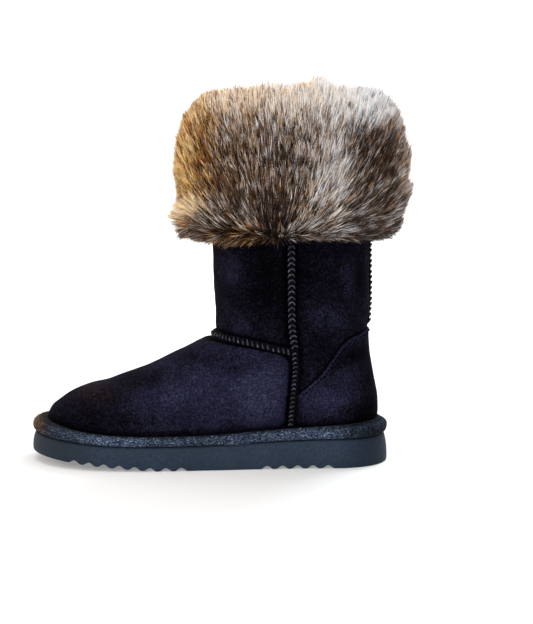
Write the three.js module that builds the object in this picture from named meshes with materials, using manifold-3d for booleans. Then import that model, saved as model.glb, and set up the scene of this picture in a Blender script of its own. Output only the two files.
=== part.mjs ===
// Pull-on winter boot with a tall fur-lined shaft, folded down once into a deep fur cuff.
// Left boot. Millimetres, +Z up, toe towards -X, outer side towards -Y.
// The origin is on the floor, under the middle of the sole's length.

import * as THREE from "three";
import { mergeVertices } from "three/addons/utils/BufferGeometryUtils.js";
import Module from "manifold-3d";

const wasm = await Module();
wasm.setup();

// Driving dimensions of the sole
const SOLE_LENGTH = 282;
const HEEL_X = SOLE_LENGTH / 2;
const TOE_SWING = 8; // the toe's tip lies this far towards the inner side
const SWING_START = 0.45; // share of the length, from the heel, that has no swing
const TOE_SPRING = 8; // height of the sole's underside at the toe's tip
const SPRING_START = 0.64; // share of the length, from the heel, that lies flat on the floor
const SPRING_POWER = 1.05;
const GAP = 0.3; // clearance between pieces that meet
const SOLE_STATIONS = 24; // points along each side of a sole's outline

// Tread: round grooves straight across the underside, in a front and a rear field
const GROOVE_RADIUS = 3.1;
const GROOVE_DEPTH = 2.5;
const GROOVE_PITCH = 11.7;
const GROOVE_SIDES = 12;
const GROOVE_FIELDS = [
  { firstX: -101, count: 8 },
  { firstX: 46, count: 5 },
];

// Driving dimensions of the upper
const UPPER_WALL = 3; // suede with its pile lining
const UPPER_SIDE_INSET = 6; // from the sole's edge to the foot of the upper
const UPPER_STATIONS = 18; // points along each side of a section of the upper
const FOLD_Z = 280; // the shaft is folded outwards at this height
const INSOLE_THICKNESS = 5;

// Raised seams and the heel counter lie on the upper
const SEAM_WIDTH = 5;
const SEAM_HEIGHT = 1.8;
const COUNTER_THICKNESS = 1.4;
const SEAM_TOP_Z = 169; // seams run on unseen above this, under the cuff
const BACK_SEAM_FOOT_Z = 106.8;

// Fur cuff and the bound edge under it
const BINDING_RADIUS = 2.4;
const BINDING_Z = 174.6;
const BINDING_SIDES = 5;

// Sole sections from the heel's tip (station 0) to the toe's tip (station 1): half widths to the outer
// and inner side, and the heights of the outsole's upper edge and of the wrapped platform on it.
const SOLE_SECTIONS = [
  { station: 0.0, outer: 37, inner: 37, soleTop: 22.0, platformTop: 34.4 },
  { station: 0.25, outer: 38.5, inner: 37, soleTop: 21.2, platformTop: 30.8 },
  { station: 0.5, outer: 45, inner: 39, soleTop: 18.4, platformTop: 26.0 },
  { station: 0.7, outer: 52, inner: 47, soleTop: 18.0, platformTop: 25.6 },
  { station: 0.85, outer: 52, inner: 48, soleTop: 19.8, platformTop: 28.2 },
  { station: 1.0, outer: 49, inner: 46, soleTop: 22.6, platformTop: 35.0 },
];
const SOLE_HEEL_CAP = { length: 42, power: 2.1 };
const SOLE_TOE_CAP = { length: 67, power: 2.15 };

// Edge profiles of the flat pieces, from the bottom ring to the top ring: inset from the sole's outline,
// and share of the height between the piece's underside and its top.
const OUTSOLE_EDGE = [
  { inset: 1.4, share: 0 },
  { inset: 0, share: 0.1 },
  { inset: 0.3, share: 0.45 },
  { inset: 1.9, share: 0.93 },
  { inset: 2.8, share: 1 },
];
const PLATFORM_EDGE = [
  { inset: 2.6, share: 0 },
  { inset: 0.9, share: 0.16 },
  { inset: 0.3, share: 0.42 },
  { inset: 1.0, share: 0.68 },
  { inset: 2.9, share: 0.88 },
  { inset: 5.6, share: 1 },
];
const INSOLE_EDGE = [
  { inset: 9.8, share: 0 },
  { inset: 9.8, share: 0.6 },
  { inset: 11.6, share: 1 },
];
const INSOLE_TOE_INSET = 11; // the toe box closes over the insole's tip
const INSOLE_HEEL_INSET = 3.5;

// Sections of the upper from the platform to the fold. Each runs from a point on the back line to a
// point on the front line. sag is its dip between them, heelCap and toeCap the lengths of its round
// ends, half the shaft's half width there, and share how far its width has gone over to the shaft's.
const UPPER_COLUMNS = ["backX", "backZ", "frontX", "frontZ", "sag", "heelCap", "toeCap", "half", "share"];
const UPPER_SECTIONS = [
  [131.8, 34.6, -130.5, 35.3, 0, 42, 66, 46, 0],
  [132.2, 43, -121.8, 44.6, 5, 43, 70, 46, 0.02],
  [132.0, 51, -104.5, 55.8, 4, 45, 76, 46, 0.1],
  [130.0, 63, -78, 64.8, 2, 49, 82, 46, 0.26],
  [127.0, 75.5, -50, 74.6, 1, 53, 82, 46, 0.48],
  [125.3, 87, -25, 86.5, 0, 57, 76, 46, 0.7],
  [124.8, 97, -4.4, 96.2, 0, 60, 68, 46.5, 0.88],
  [124.8, 106, 4.5, 101.8, 0, 62, 62, 47.5, 0.97],
  [125.4, 116, 5.3, 112, 0, 62, 62, 49, 1],
  [126.0, 130, 4.7, 128, 0, 62, 62, 50.8, 1],
  [125.6, 165, 3.9, 165, 0, 62, 62, 53, 1],
  [125.7, 222, 3.3, 222, 0, 62, 62, 54, 1],
  [126.5, FOLD_Z, 2.6, FOLD_Z, 0, 62, 62, 54.5, 1],
].map((row) => Object.fromEntries(UPPER_COLUMNS.map((name, i) => [name, row[i]])));
const UPPER_CAP_POWER = 2;
const UPPER_SPLITS = 2; // rings made for each step between sections below the straight shaft
const STRAIGHT_FROM = 9; // sections from here on are joined without rings between them

// Seam lines on the outer and inner side alike, seen along Y
const SIDE_SEAM = [
  { x: 63.9, z: SEAM_TOP_Z },
  { x: 64.3, z: 118 },
  { x: 65.2, z: 104 },
  { x: 67.2, z: 91 },
  { x: 68, z: 76 },
  { x: 66.4, z: 56 },
  { x: 63.4, z: 20 },
];
const ANKLE_SEAM = [
  { x: -12, z: 102.6 },
  { x: 4, z: 100.9 },
  { x: 34, z: 97.4 },
  { x: 50, z: 94.2 },
  { x: 76, z: 88.4 },
];
// Upper edge of the heel counter, from the side seam to the back
const COUNTER_EDGE = [
  { x: 55, z: 47.5 },
  { x: 70, z: 58 },
  { x: 82, z: 68.4 },
  { x: 92, z: 79.8 },
  { x: 101, z: 92.8 },
  { x: 112, z: 101 },
  { x: 142, z: 111.5 },
];

// Profile of the fur cuff, once round: reach outwards from the shaft's outer face, and height
const CUFF_PROFILE = [
  { reach: GAP, z: 178.4 },
  { reach: GAP, z: 230 },
  { reach: GAP, z: FOLD_Z + GAP },
  { reach: -UPPER_WALL, z: FOLD_Z + GAP },
  { reach: -UPPER_WALL, z: 284 },
  { reach: 2, z: 288.5 },
  { reach: 9, z: 287 },
  { reach: 17, z: 279 },
  { reach: 23, z: 263 },
  { reach: 26, z: 238 },
  { reach: 26.5, z: 210 },
  { reach: 23.5, z: 192 },
  { reach: 12, z: 179.5 },
];
// Rows of fur locks: height and reach of the roots, number in the row, where the first one stands round
// the shaft in degrees from the back, length and width of a lock, how far its tip lifts off the cuff, and
// how steeply it lies upwards (downwards if negative). The last two are the tuft at the front of the hem.
const LOCK_ROWS = [
  { z: 190, reach: 19, count: 14, first: 0, length: 18, width: 24, lift: 5, rise: -0.4 },
  { z: 198, reach: 23, count: 15, first: 12, length: 26, width: 25, lift: 8, rise: 0.5 },
  { z: 216, reach: 24.5, count: 15, first: 0, length: 30, width: 25, lift: 9, rise: 1 },
  { z: 237, reach: 23.5, count: 14, first: 12, length: 30, width: 25, lift: 6, rise: 1 },
  { z: 256, reach: 21, count: 14, first: 0, length: 28, width: 24, lift: 1, rise: 1 },
  { z: 271, reach: 14, count: 12, first: 12, length: 23, width: 22, lift: -2, rise: 1 },
  { z: 204, reach: 18, count: 1, first: 188, length: 17, width: 34, lift: 21, rise: -1 },
  { z: 194, reach: 17, count: 1, first: 174, length: 15, width: 32, lift: 15, rise: -1 },
];
const LOCK_HEIGHT = 5.5; // of the ridge along the middle of a lock
const LOCK_MIDDLE = { along: 0.5, lift: 0.4, size: 0.78 }; // shares at the middle of a lock
const LOCK_FAN = 0.8; // locks fan out from the middle of each side
const LOCK_LENGTH_SWING = 0.16; // share by which lengths differ along a row

// Materials
const suede = new THREE.MeshStandardMaterial({ color: 0x1c1b26, roughness: 0.95, metalness: 0 });
const thread = new THREE.MeshStandardMaterial({ color: 0x2b2b36, roughness: 0.8, metalness: 0 });
const binding = new THREE.MeshStandardMaterial({ color: 0x333d50, roughness: 0.95, metalness: 0 });
const foam = new THREE.MeshStandardMaterial({ color: 0x323b4a, roughness: 0.7, metalness: 0 });
const fleece = new THREE.MeshStandardMaterial({ color: 0x4a3c34, roughness: 1, metalness: 0 });
const fur = new THREE.MeshStandardMaterial({ color: 0x7a6453, roughness: 0.9, metalness: 0 });

// A smooth curve through one column of a table, by another column that rises or falls steadily.
function column(rows, key, value) {
  const slope = (i) => {
    const a = rows[Math.max(i - 1, 0)];
    const b = rows[Math.min(i + 1, rows.length - 1)];
    return (b[value] - a[value]) / (b[key] - a[key]);
  };
  const sign = Math.sign(rows[rows.length - 1][key] - rows[0][key]);
  return (at) => {
    let i = 0;
    while (i < rows.length - 2 && sign * (at - rows[i + 1][key]) > 0) i += 1;
    const span = rows[i + 1][key] - rows[i][key];
    const t = THREE.MathUtils.clamp((at - rows[i][key]) / span, 0, 1);
    const rise = t * t * (3 - 2 * t);
    const bend = span * t * (1 - t) * (slope(i) * (1 - t) - slope(i + 1) * t);
    return rows[i][value] * (1 - rise) + rows[i + 1][value] * rise + bend;
  };
}

const stationAt = (x) => (HEEL_X - x) / SOLE_LENGTH;
const soleWidth = {
  outer: column(SOLE_SECTIONS, "station", "outer"),
  inner: column(SOLE_SECTIONS, "station", "inner"),
};
const soleTopAt = column(SOLE_SECTIONS, "station", "soleTop");
const platformTopAt = column(SOLE_SECTIONS, "station", "platformTop");
const soleTop = (x) => soleTopAt(stationAt(x));
const platformTop = (x) => platformTopAt(stationAt(x));
const swing = (x) => TOE_SWING * THREE.MathUtils.smoothstep(stationAt(x), SWING_START, 1);

function soleUnderside(x) {
  const past = (stationAt(x) - SPRING_START) / (1 - SPRING_START);
  return TOE_SPRING * Math.max(past, 0) ** SPRING_POWER;
}

// Share of the full width at a distance from a rounded end.
function capShare(distance, cap) {
  if (distance >= cap.length) return 1;
  const left = 1 - Math.max(distance, 0) / cap.length;
  return (1 - left ** cap.power) ** (1 / cap.power);
}

// A closed outline seen from above: from the back tip along the outer side to the front tip, then back
// along the inner side. Its points lie closer together towards the two round ends.
function outline({ backX, frontX, heelCap, toeCap, width }, stations) {
  const side = (sign, name) =>
    Array.from({ length: stations + 1 }, (_, i) => {
      const run = (1 - Math.cos((Math.PI * i) / stations)) / 2;
      const x = backX + (frontX - backX) * run;
      const cap = capShare(backX - x, heelCap) * capShare(x - frontX, toeCap);
      return new THREE.Vector2(x, swing(x) + sign * width(x, name) * cap);
    });
  return [...side(-1, "outer"), ...side(1, "inner").slice(1, -1).reverse()];
}

// Solids: points and triangles become a closed body that faces out.
function solidFrom(points, triangles) {
  const volume = triangles.reduce(
    (sum, [a, b, c]) => sum + points[a].dot(points[b].clone().cross(points[c])),
    0,
  );
  const facing = volume < 0 ? triangles.map(([a, b, c]) => [a, c, b]) : triangles;
  return new wasm.Manifold(
    new wasm.Mesh({
      numProp: 3,
      vertProperties: new Float32Array(points.flatMap((p) => p.toArray())),
      triVerts: new Uint32Array(facing.flat()),
    }),
  );
}

// A three.js geometry as a solid.
function solidOf(geometry) {
  const bare = geometry.index ? geometry.toNonIndexed() : geometry.clone();
  bare.deleteAttribute("normal");
  bare.deleteAttribute("uv");
  const merged = mergeVertices(bare, 1e-3);
  const place = merged.getAttribute("position");
  const points = Array.from({ length: place.count }, (_, i) =>
    new THREE.Vector3().fromBufferAttribute(place, i),
  );
  const index = Array.from(merged.index.array);
  const triangles = [];
  for (let i = 0; i < index.length; i += 3) triangles.push(index.slice(i, i + 3));
  return solidFrom(points, triangles);
}

function meshOf(name, solid, material) {
  const { vertProperties, triVerts } = solid.getMesh();
  const geometry = new THREE.BufferGeometry();
  geometry.setAttribute("position", new THREE.BufferAttribute(vertProperties, 3));
  geometry.setIndex(new THREE.BufferAttribute(triVerts, 1));
  geometry.computeVertexNormals();
  const mesh = new THREE.Mesh(geometry, material.clone());
  mesh.name = name;
  return mesh;
}

// Two triangles between neighbouring points of two rings.
function ringStrip(first, second, count) {
  return Array.from({ length: count }, (_, j) => {
    const k = (j + 1) % count;
    return [
      [first + j, first + k, second + k],
      [first + j, second + k, second + j],
    ];
  }).flat();
}

// A lid over one ring, as strips straight across from the outer to the inner side.
function ringLid(first, count) {
  const half = count / 2;
  const opposite = (j) => first + ((count - j) % count);
  const triangles = [];
  for (let j = 0; j < half; j += 1) {
    if (j > 0) triangles.push([first + j, opposite(j), opposite(j + 1)]);
    if (j < half - 1) triangles.push([first + j, opposite(j + 1), first + j + 1]);
  }
  return triangles;
}

// A body from a stack of rings, with a lid at each end.
function stackedSolid(rings) {
  const count = rings[0].length;
  const triangles = ringLid(0, count);
  for (let i = 0; i < rings.length - 1; i += 1) {
    triangles.push(...ringStrip(i * count, (i + 1) * count, count));
  }
  const lid = ringLid((rings.length - 1) * count, count);
  triangles.push(...lid.map(([a, b, c]) => [a, c, b]));
  return solidFrom(rings.flat(), triangles);
}

// A body from rings that close on themselves, so that its last ring meets its first.
function closedRingSolid(rings) {
  const count = rings[0].length;
  const triangles = rings.flatMap((_, i) =>
    ringStrip(i * count, ((i + 1) % rings.length) * count, count),
  );
  return solidFrom(rings.flat(), triangles);
}

// Flat pieces of the sole
function soleRing(inset, height, heelInset = 0, toeInset = 0) {
  const edge = outline(
    {
      backX: HEEL_X - inset - heelInset,
      frontX: -HEEL_X + inset + toeInset,
      heelCap: SOLE_HEEL_CAP,
      toeCap: SOLE_TOE_CAP,
      width: (x, name) => soleWidth[name](stationAt(x)) - inset,
    },
    SOLE_STATIONS,
  );
  return edge.map((p) => new THREE.Vector3(p.x, p.y, height(p.x)));
}

function plate(edge, bottom, top, heelInset, toeInset) {
  const rings = edge.map(({ inset, share }) => {
    const height = (x) => THREE.MathUtils.lerp(bottom(x), top(x), share);
    return soleRing(inset, height, heelInset, toeInset);
  });
  return stackedSolid(rings);
}

function outsole() {
  let body = plate(OUTSOLE_EDGE, soleUnderside, soleTop);
  for (const { firstX, count } of GROOVE_FIELDS) {
    for (let i = 0; i < count; i += 1) {
      const x = firstX + i * GROOVE_PITCH;
      const z = soleUnderside(x) + GROOVE_DEPTH - GROOVE_RADIUS;
      const groove = new THREE.CylinderGeometry(GROOVE_RADIUS, GROOVE_RADIUS, SOLE_LENGTH, GROOVE_SIDES);
      body = body.subtract(solidOf(groove.translate(x, 0, z)));
    }
  }
  return body;
}

const platformUnderside = (x) => soleTop(x) + GAP;
const insoleUnderside = (x) => platformTop(x) + GAP;
const insoleTop = (x) => insoleUnderside(x) + INSOLE_THICKNESS;

// The upper's outer face, as rings from the platform to the fold
function upperSection(row, onPlatform) {
  const longestCap = (row.backX - row.frontX) / 2;
  const edge = outline(
    {
      backX: row.backX,
      frontX: row.frontX,
      heelCap: { length: Math.min(row.heelCap, longestCap), power: UPPER_CAP_POWER },
      toeCap: { length: Math.min(row.toeCap, longestCap), power: UPPER_CAP_POWER },
      width: (x, name) => {
        const foot = soleWidth[name](stationAt(x)) - UPPER_SIDE_INSET;
        return THREE.MathUtils.lerp(foot, row.half, row.share);
      },
    },
    UPPER_STATIONS,
  );
  return edge.map((p) => {
    const run = (row.backX - p.x) / (row.backX - row.frontX);
    const level = THREE.MathUtils.lerp(row.backZ, row.frontZ, run) - row.sag * 4 * run * (1 - run);
    return new THREE.Vector3(p.x, p.y, onPlatform ? platformTop(p.x) + GAP : level);
  });
}

function upperRings() {
  const sections = UPPER_SECTIONS.map((row, i) => upperSection(row, i === 0));
  const count = sections[0].length;
  const lines = Array.from(
    { length: count },
    (_, j) => new THREE.CatmullRomCurve3(sections.map((ring) => ring[j]), false, "centripetal"),
  );
  const last = sections.length - 1;
  const steps = [];
  for (let i = 0; i < STRAIGHT_FROM; i += 1) {
    for (let k = 0; k < UPPER_SPLITS; k += 1) steps.push(i + k / UPPER_SPLITS);
  }
  for (let i = STRAIGHT_FROM; i <= last; i += 1) steps.push(i);
  return steps.map((step) => lines.map((line) => line.getPoint(step / last)));
}

// Directions that point straight out of the rings' common face.
function ringNormals(rings) {
  const count = rings[0].length;
  return rings.map((ring, i) =>
    ring.map((_, j) => {
      const along = ring[(j + 1) % count].clone().sub(ring[(j + count - 1) % count]);
      const above = rings[Math.min(i + 1, rings.length - 1)][j];
      const below = rings[Math.max(i - 1, 0)][j];
      return along.cross(above.clone().sub(below)).normalize();
    }),
  );
}

const OUTER_RINGS = upperRings();
const OUTER_NORMALS = ringNormals(OUTER_RINGS);
const FACING = Math.sign(OUTER_NORMALS[0][0].x); // the back tip's normal points towards +X

// A point of the outer face moved straight out, or in the lowest ring moved level along the platform.
function offsetPoint(i, j, distance) {
  const normal = OUTER_NORMALS[i][j].clone().multiplyScalar(FACING);
  const point = OUTER_RINGS[i][j].clone();
  if (i > 0) return point.addScaledVector(normal, distance);
  const level = normal.setZ(0);
  point.addScaledVector(level, distance / level.lengthSq());
  return point.setZ(platformTop(point.x) + GAP);
}

const offsetRings = (distance) =>
  OUTER_RINGS.map((ring, i) => ring.map((_, j) => offsetPoint(i, j, distance)));

function upper() {
  const inside = offsetRings(-UPPER_WALL);
  return closedRingSolid([...OUTER_RINGS, ...inside.reverse()]);
}

// Overlays: what lies between two forms of the upper, inside a cutter
function overlay(cutter, height) {
  const core = offsetRings(GAP);
  const foot = core[0].map((p) => p.clone().setZ(p.z - height));
  const inner = stackedSolid([foot, ...core]);
  const outer = stackedSolid(offsetRings(GAP + height));
  return outer.subtract(inner).intersect(cutter);
}

const CUT_REACH = 400; // longer than the boot in any direction

// A cutter with an outline in X and Z, between two places along Y.
function sideCutter(points, fromY, toY) {
  const shape = new THREE.Shape(points.map((p) => new THREE.Vector2(p.x, p.z)));
  const prism = new THREE.ExtrudeGeometry(shape, { depth: toY - fromY, bevelEnabled: false });
  prism.rotateX(Math.PI / 2);
  prism.translate(0, toY, 0);
  return solidOf(prism);
}

// The outline of a band of a given width along a line in X and Z.
function band(line, width) {
  const edge = (sign) =>
    line.map((p, i) => {
      const a = line[Math.max(i - 1, 0)];
      const b = line[Math.min(i + 1, line.length - 1)];
      const length = Math.hypot(b.x - a.x, b.z - a.z);
      const reach = (sign * width) / 2 / length;
      return { x: p.x - (b.z - a.z) * reach, z: p.z + (b.x - a.x) * reach };
    });
  return [...edge(1), ...edge(-1).reverse()];
}

const sideSeamCutter = (width, fromY, toY) => sideCutter(band(SIDE_SEAM, width), fromY, toY);

function sideSeam(sign) {
  const [fromY, toY] = sign < 0 ? [-CUT_REACH, 0] : [0, CUT_REACH];
  return overlay(sideSeamCutter(SEAM_WIDTH, fromY, toY), SEAM_HEIGHT);
}

function ankleSeam() {
  const strip = sideCutter(band(ANKLE_SEAM, SEAM_WIDTH), -CUT_REACH, CUT_REACH);
  const beside = sideSeamCutter(SEAM_WIDTH + 2 * GAP, -CUT_REACH, CUT_REACH);
  const ahead = [...SIDE_SEAM, { x: -CUT_REACH, z: 0 }, { x: -CUT_REACH, z: SEAM_TOP_Z }];
  const frontOnly = sideCutter(ahead, -CUT_REACH, CUT_REACH);
  return overlay(strip.intersect(frontOnly).subtract(beside), SEAM_HEIGHT);
}

function backSeam() {
  const strip = new THREE.BoxGeometry(HEEL_X, SEAM_WIDTH, SEAM_TOP_Z - BACK_SEAM_FOOT_Z);
  strip.translate(HEEL_X, 0, (SEAM_TOP_Z + BACK_SEAM_FOOT_Z) / 2);
  return overlay(solidOf(strip), SEAM_HEIGHT);
}

function heelCounter() {
  const below = [...COUNTER_EDGE, { x: HEEL_X + 1, z: 0 }, { x: COUNTER_EDGE[0].x, z: 0 }];
  const beside = sideSeamCutter(SEAM_WIDTH + 2 * GAP, -CUT_REACH, CUT_REACH);
  const behind = [...SIDE_SEAM, { x: CUT_REACH, z: 0 }, { x: CUT_REACH, z: SEAM_TOP_Z }];
  const backOnly = sideCutter(behind, -CUT_REACH, CUT_REACH);
  const patch = sideCutter(below, -CUT_REACH, CUT_REACH).intersect(backOnly).subtract(beside);
  return overlay(patch, COUNTER_THICKNESS);
}

// Fur cuff: rings round the shaft at a reach from its outer face
const SHAFT_ROWS = UPPER_SECTIONS.filter((row) => row.share === 1);
const shaftBack = column(SHAFT_ROWS, "backZ", "backX");
const shaftFront = column(SHAFT_ROWS, "frontZ", "frontX");
const shaftHalf = column(SHAFT_ROWS, "backZ", "half");

function shaftRing(z, reach) {
  const level = Math.min(z, FOLD_Z);
  const backX = shaftBack(level) + reach;
  const frontX = shaftFront(level) - reach;
  const cap = { length: (backX - frontX) / 2, power: UPPER_CAP_POWER };
  const width = () => shaftHalf(level) + reach;
  const edge = outline({ backX, frontX, heelCap: cap, toeCap: cap, width }, UPPER_STATIONS);
  return edge.map((p) => new THREE.Vector3(p.x, p.y, z));
}

// One lock of fur: a flat tuft that lies along the cuff, lifts off it and tapers to a tip.
function lock(root, out, flow, { length, width, lift }) {
  const across = out.clone().cross(flow).normalize();
  const along = (share, rise) =>
    root.clone().addScaledVector(flow, length * share).addScaledVector(out, rise);
  const ring = (centre, size) => [
    centre.clone().addScaledVector(across, (size * width) / 2),
    centre.clone().addScaledVector(out, size * LOCK_HEIGHT),
    centre.clone().addScaledVector(across, (-size * width) / 2),
  ];
  const middle = along(LOCK_MIDDLE.along, lift * LOCK_MIDDLE.lift);
  const points = [...ring(along(0, 0), 1), ...ring(middle, LOCK_MIDDLE.size), along(1, lift)];
  const triangles = [
    ...ringStrip(0, 3, 3),
    [3, 4, 6],
    [4, 5, 6],
    [5, 3, 6],
    [2, 1, 0],
  ];
  return solidFrom(points, triangles);
}

// Direction in which the fur lies on the cuff: fanned from the middle of each side, and up or down.
function furFlow(out, rise) {
  const fan = new THREE.Vector3(out.x, 0, 0).projectOnPlane(out).multiplyScalar(LOCK_FAN);
  return fan.setZ(rise).clampLength(0, 1);
}

function furCuff() {
  let body = closedRingSolid(CUFF_PROFILE.map(({ reach, z }) => shaftRing(z, reach)));
  const middleX = (shaftBack(FOLD_Z) + shaftFront(FOLD_Z)) / 2;
  LOCK_ROWS.forEach((row, i) => {
    const halfX = (shaftBack(FOLD_Z) - shaftFront(FOLD_Z)) / 2 + row.reach;
    const halfY = shaftHalf(FOLD_Z) + row.reach;
    for (let k = 0; k < row.count; k += 1) {
      const turn = THREE.MathUtils.degToRad(row.first + (360 * k) / row.count);
      const root = new THREE.Vector3(middleX + halfX * Math.cos(turn), halfY * Math.sin(turn), row.z);
      const out = new THREE.Vector3(Math.cos(turn) / halfX, Math.sin(turn) / halfY, 0).normalize();
      const length = row.length * (1 + LOCK_LENGTH_SWING * Math.sin(3 * k + i));
      body = body.add(lock(root, out, furFlow(out, row.rise), { ...row, length }));
    }
  });
  return body;
}

// The bound edge of the shaft, which hangs under the fur once the shaft is folded
function cuffBinding() {
  const rings = Array.from({ length: BINDING_SIDES }, (_, k) => {
    const turn = (2 * Math.PI * k) / BINDING_SIDES;
    const reach = GAP + BINDING_RADIUS * (1 - Math.cos(turn));
    return shaftRing(BINDING_Z - BINDING_RADIUS * Math.sin(turn), reach);
  });
  return closedRingSolid(rings);
}

const boot = new THREE.Group();
boot.name = "boot";
boot.add(
  meshOf("outsole", outsole(), foam),
  meshOf("platform_wrap", plate(PLATFORM_EDGE, platformUnderside, platformTop), binding),
  meshOf(
    "insole",
    plate(INSOLE_EDGE, insoleUnderside, insoleTop, INSOLE_HEEL_INSET, INSOLE_TOE_INSET),
    fleece,
  ),
  meshOf("upper", upper(), suede),
  meshOf("heel_counter", heelCounter(), suede),
  meshOf("ankle_seam", ankleSeam(), thread),
  meshOf("side_seam_outer", sideSeam(-1), thread),
  meshOf("side_seam_inner", sideSeam(1), thread),
  meshOf("back_seam", backSeam(), thread),
  meshOf("fur_cuff", furCuff(), fur),
  meshOf("cuff_binding", cuffBinding(), binding),
);

export default boot;
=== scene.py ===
"""Winter boot of dark suede with a folded fur cuff, on a wrapped platform with a foam sole.

Left boot, toe towards -X, outer side towards -Y, floor at Z = 0. Sizes below are in millimetres.
"""

import math

import bpy
import numpy as np
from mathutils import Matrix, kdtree


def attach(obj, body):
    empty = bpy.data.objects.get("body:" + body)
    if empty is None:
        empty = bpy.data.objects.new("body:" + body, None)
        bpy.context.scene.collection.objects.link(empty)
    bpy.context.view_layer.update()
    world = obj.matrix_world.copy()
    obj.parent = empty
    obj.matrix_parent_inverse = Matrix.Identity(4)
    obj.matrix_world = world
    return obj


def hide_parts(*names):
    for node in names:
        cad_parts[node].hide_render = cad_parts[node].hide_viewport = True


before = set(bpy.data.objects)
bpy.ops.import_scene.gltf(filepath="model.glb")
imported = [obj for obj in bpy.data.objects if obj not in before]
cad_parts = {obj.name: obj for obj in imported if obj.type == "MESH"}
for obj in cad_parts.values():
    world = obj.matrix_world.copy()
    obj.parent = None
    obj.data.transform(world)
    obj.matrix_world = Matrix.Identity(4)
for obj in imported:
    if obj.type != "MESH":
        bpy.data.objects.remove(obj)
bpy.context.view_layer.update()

MM = 0.001
SEED = 11
rng = np.random.default_rng(SEED)

# Sole and platform
SOLE_LENGTH = 282
HEEL_X = SOLE_LENGTH / 2
TOE_SWING = 8  # the toe's tip lies this far towards the inner side
SWING_START = 0.45  # share of the length, from the heel, that has no swing
TOE_SPRING = 8  # height of the underside at the toe's tip
SPRING_START = 0.64  # share of the length, from the heel, that lies flat
SPRING_POWER = 1.05
GAP = 0.3
HEEL_CAP = (42, 2.1)  # length and power of the round end
TOE_CAP = (67, 2.15)

# Station along the sole from the heel, half widths to the outer and inner side, tops of sole and platform
SOLE_SECTIONS = np.array([
    (0, 37, 37, 22, 34.4),
    (0.25, 38.5, 37, 21.2, 30.8),
    (0.5, 45, 39, 18.4, 26),
    (0.7, 52, 47, 18, 25.6),
    (0.85, 52, 48, 19.8, 28.2),
    (1, 49, 46, 22.6, 35),
])
GROOVE_DEPTH = 2.5
GROOVE_HALF = 4.8
GROOVE_FULLNESS = 0.8  # power of the groove's round section
GROOVE_PITCH = 11.7
GROOVE_FIELDS = ((-101, 8), (46, 5))  # X of a field's first groove, and number of grooves

# Edge profiles, from the bottom up: inset from the sole's outline and share of the height
OUTSOLE_EDGE = np.array([
    (6, 0), (1.6, 0), (0.6, 0.01), (0.15, 0.04), (0, 0.1), (0, 0.3), (0.3, 0.5),
    (0.9, 0.7), (1.7, 0.88), (2.2, 0.96), (2.9, 1), (6, 1),
])
WRAP_EDGE = np.array([
    (6, 0), (4.2, 0), (2.9, 0.03), (1.7, 0.1), (0.8, 0.2), (0.3, 0.34), (0.35, 0.5),
    (0.7, 0.62), (1.4, 0.74), (2.3, 0.82), (3.2, 0.85), (3.9, 0.83), (4.3, 0.84), (4.8, 0.92),
    (5.5, 0.99), (6.4, 1), (7.4, 0.97), (9, 0.96),
])
INSOLE_EDGE = np.array([(9.8, 0), (9.8, 0.6), (10.3, 0.85), (11.6, 1), (16, 1)])
INSOLE_THICKNESS = 5
INSOLE_INSETS = (3.5, 11)  # at the heel and the toe

# Upper: back and front points of each section, its sag, round ends, half width and share of the shaft
UPPER_SECTIONS = np.array([
    (131.8, 34.6, -130.5, 35.3, 0, 42, 66, 46, 0),
    (132.2, 43, -121.8, 44.6, 5, 43, 70, 46, 0.02),
    (132, 51, -104.5, 55.8, 4, 45, 76, 46, 0.1),
    (130, 63, -78, 64.8, 2, 49, 82, 46, 0.26),
    (127, 75.5, -50, 74.6, 1, 53, 82, 46, 0.48),
    (125.3, 87, -25, 86.5, 0, 57, 76, 46, 0.7),
    (124.8, 97, -4.4, 96.2, 0, 60, 68, 46.5, 0.88),
    (124.8, 106, 4.5, 101.8, 0, 62, 62, 47.5, 0.97),
    (125.4, 116, 5.3, 112, 0, 62, 62, 49, 1),
    (126, 130, 4.7, 128, 0, 62, 62, 50.8, 1),
    (125.6, 165, 3.9, 165, 0, 62, 62, 53, 1),
    (125.7, 222, 3.3, 222, 0, 62, 62, 54, 1),
    (126.5, 280, 2.6, 280, 0, 62, 62, 54.5, 1),
])
UPPER_SIDE_INSET = 6
UPPER_CAP_POWER = 2
UPPER_WALL = 3
FOLD_Z = 280
SHAFT = UPPER_SECTIONS[8:]  # sections of the straight shaft
ROW_STEPS = (9, 13, 18, 20, 18, 15, 9, 8, 12, 24, 18, 4)  # rows of suede from each section to the next

# Seam lines seen along Y, on the outer and inner side alike
SIDE_SEAM = np.array([
    (63.8, 178), (64.3, 118), (65.2, 104), (67.2, 91), (68, 76), (66.4, 56), (63.4, 20),
])
ANKLE_SEAM = np.array([(-12, 102.6), (4, 100.9), (34, 97.4), (50, 94.2), (76, 88.4)])
COUNTER_EDGE = np.array([
    (55, 47.5), (70, 58), (76, 62.8), (82, 68.4), (88, 74.6), (94, 83), (101, 92.8), (106.5, 98),
    (113, 101.5), (120, 104), (142, 111.5),
])
COUNTER_RISE = 1.5  # of the counter's face above the upper's
COUNTER_SINK = 1.6  # of the suede under the counter
COUNTER_SINK_RUN = (0.5, 3)  # it sinks between these distances under the counter's edge
BACK_SEAM_FOOT_Z = 106.8
SIDE_SEAM_FOOT_Z = 30
SEAM_TOP_Z = 178
SEAM_CLEAR = 2.8


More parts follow.
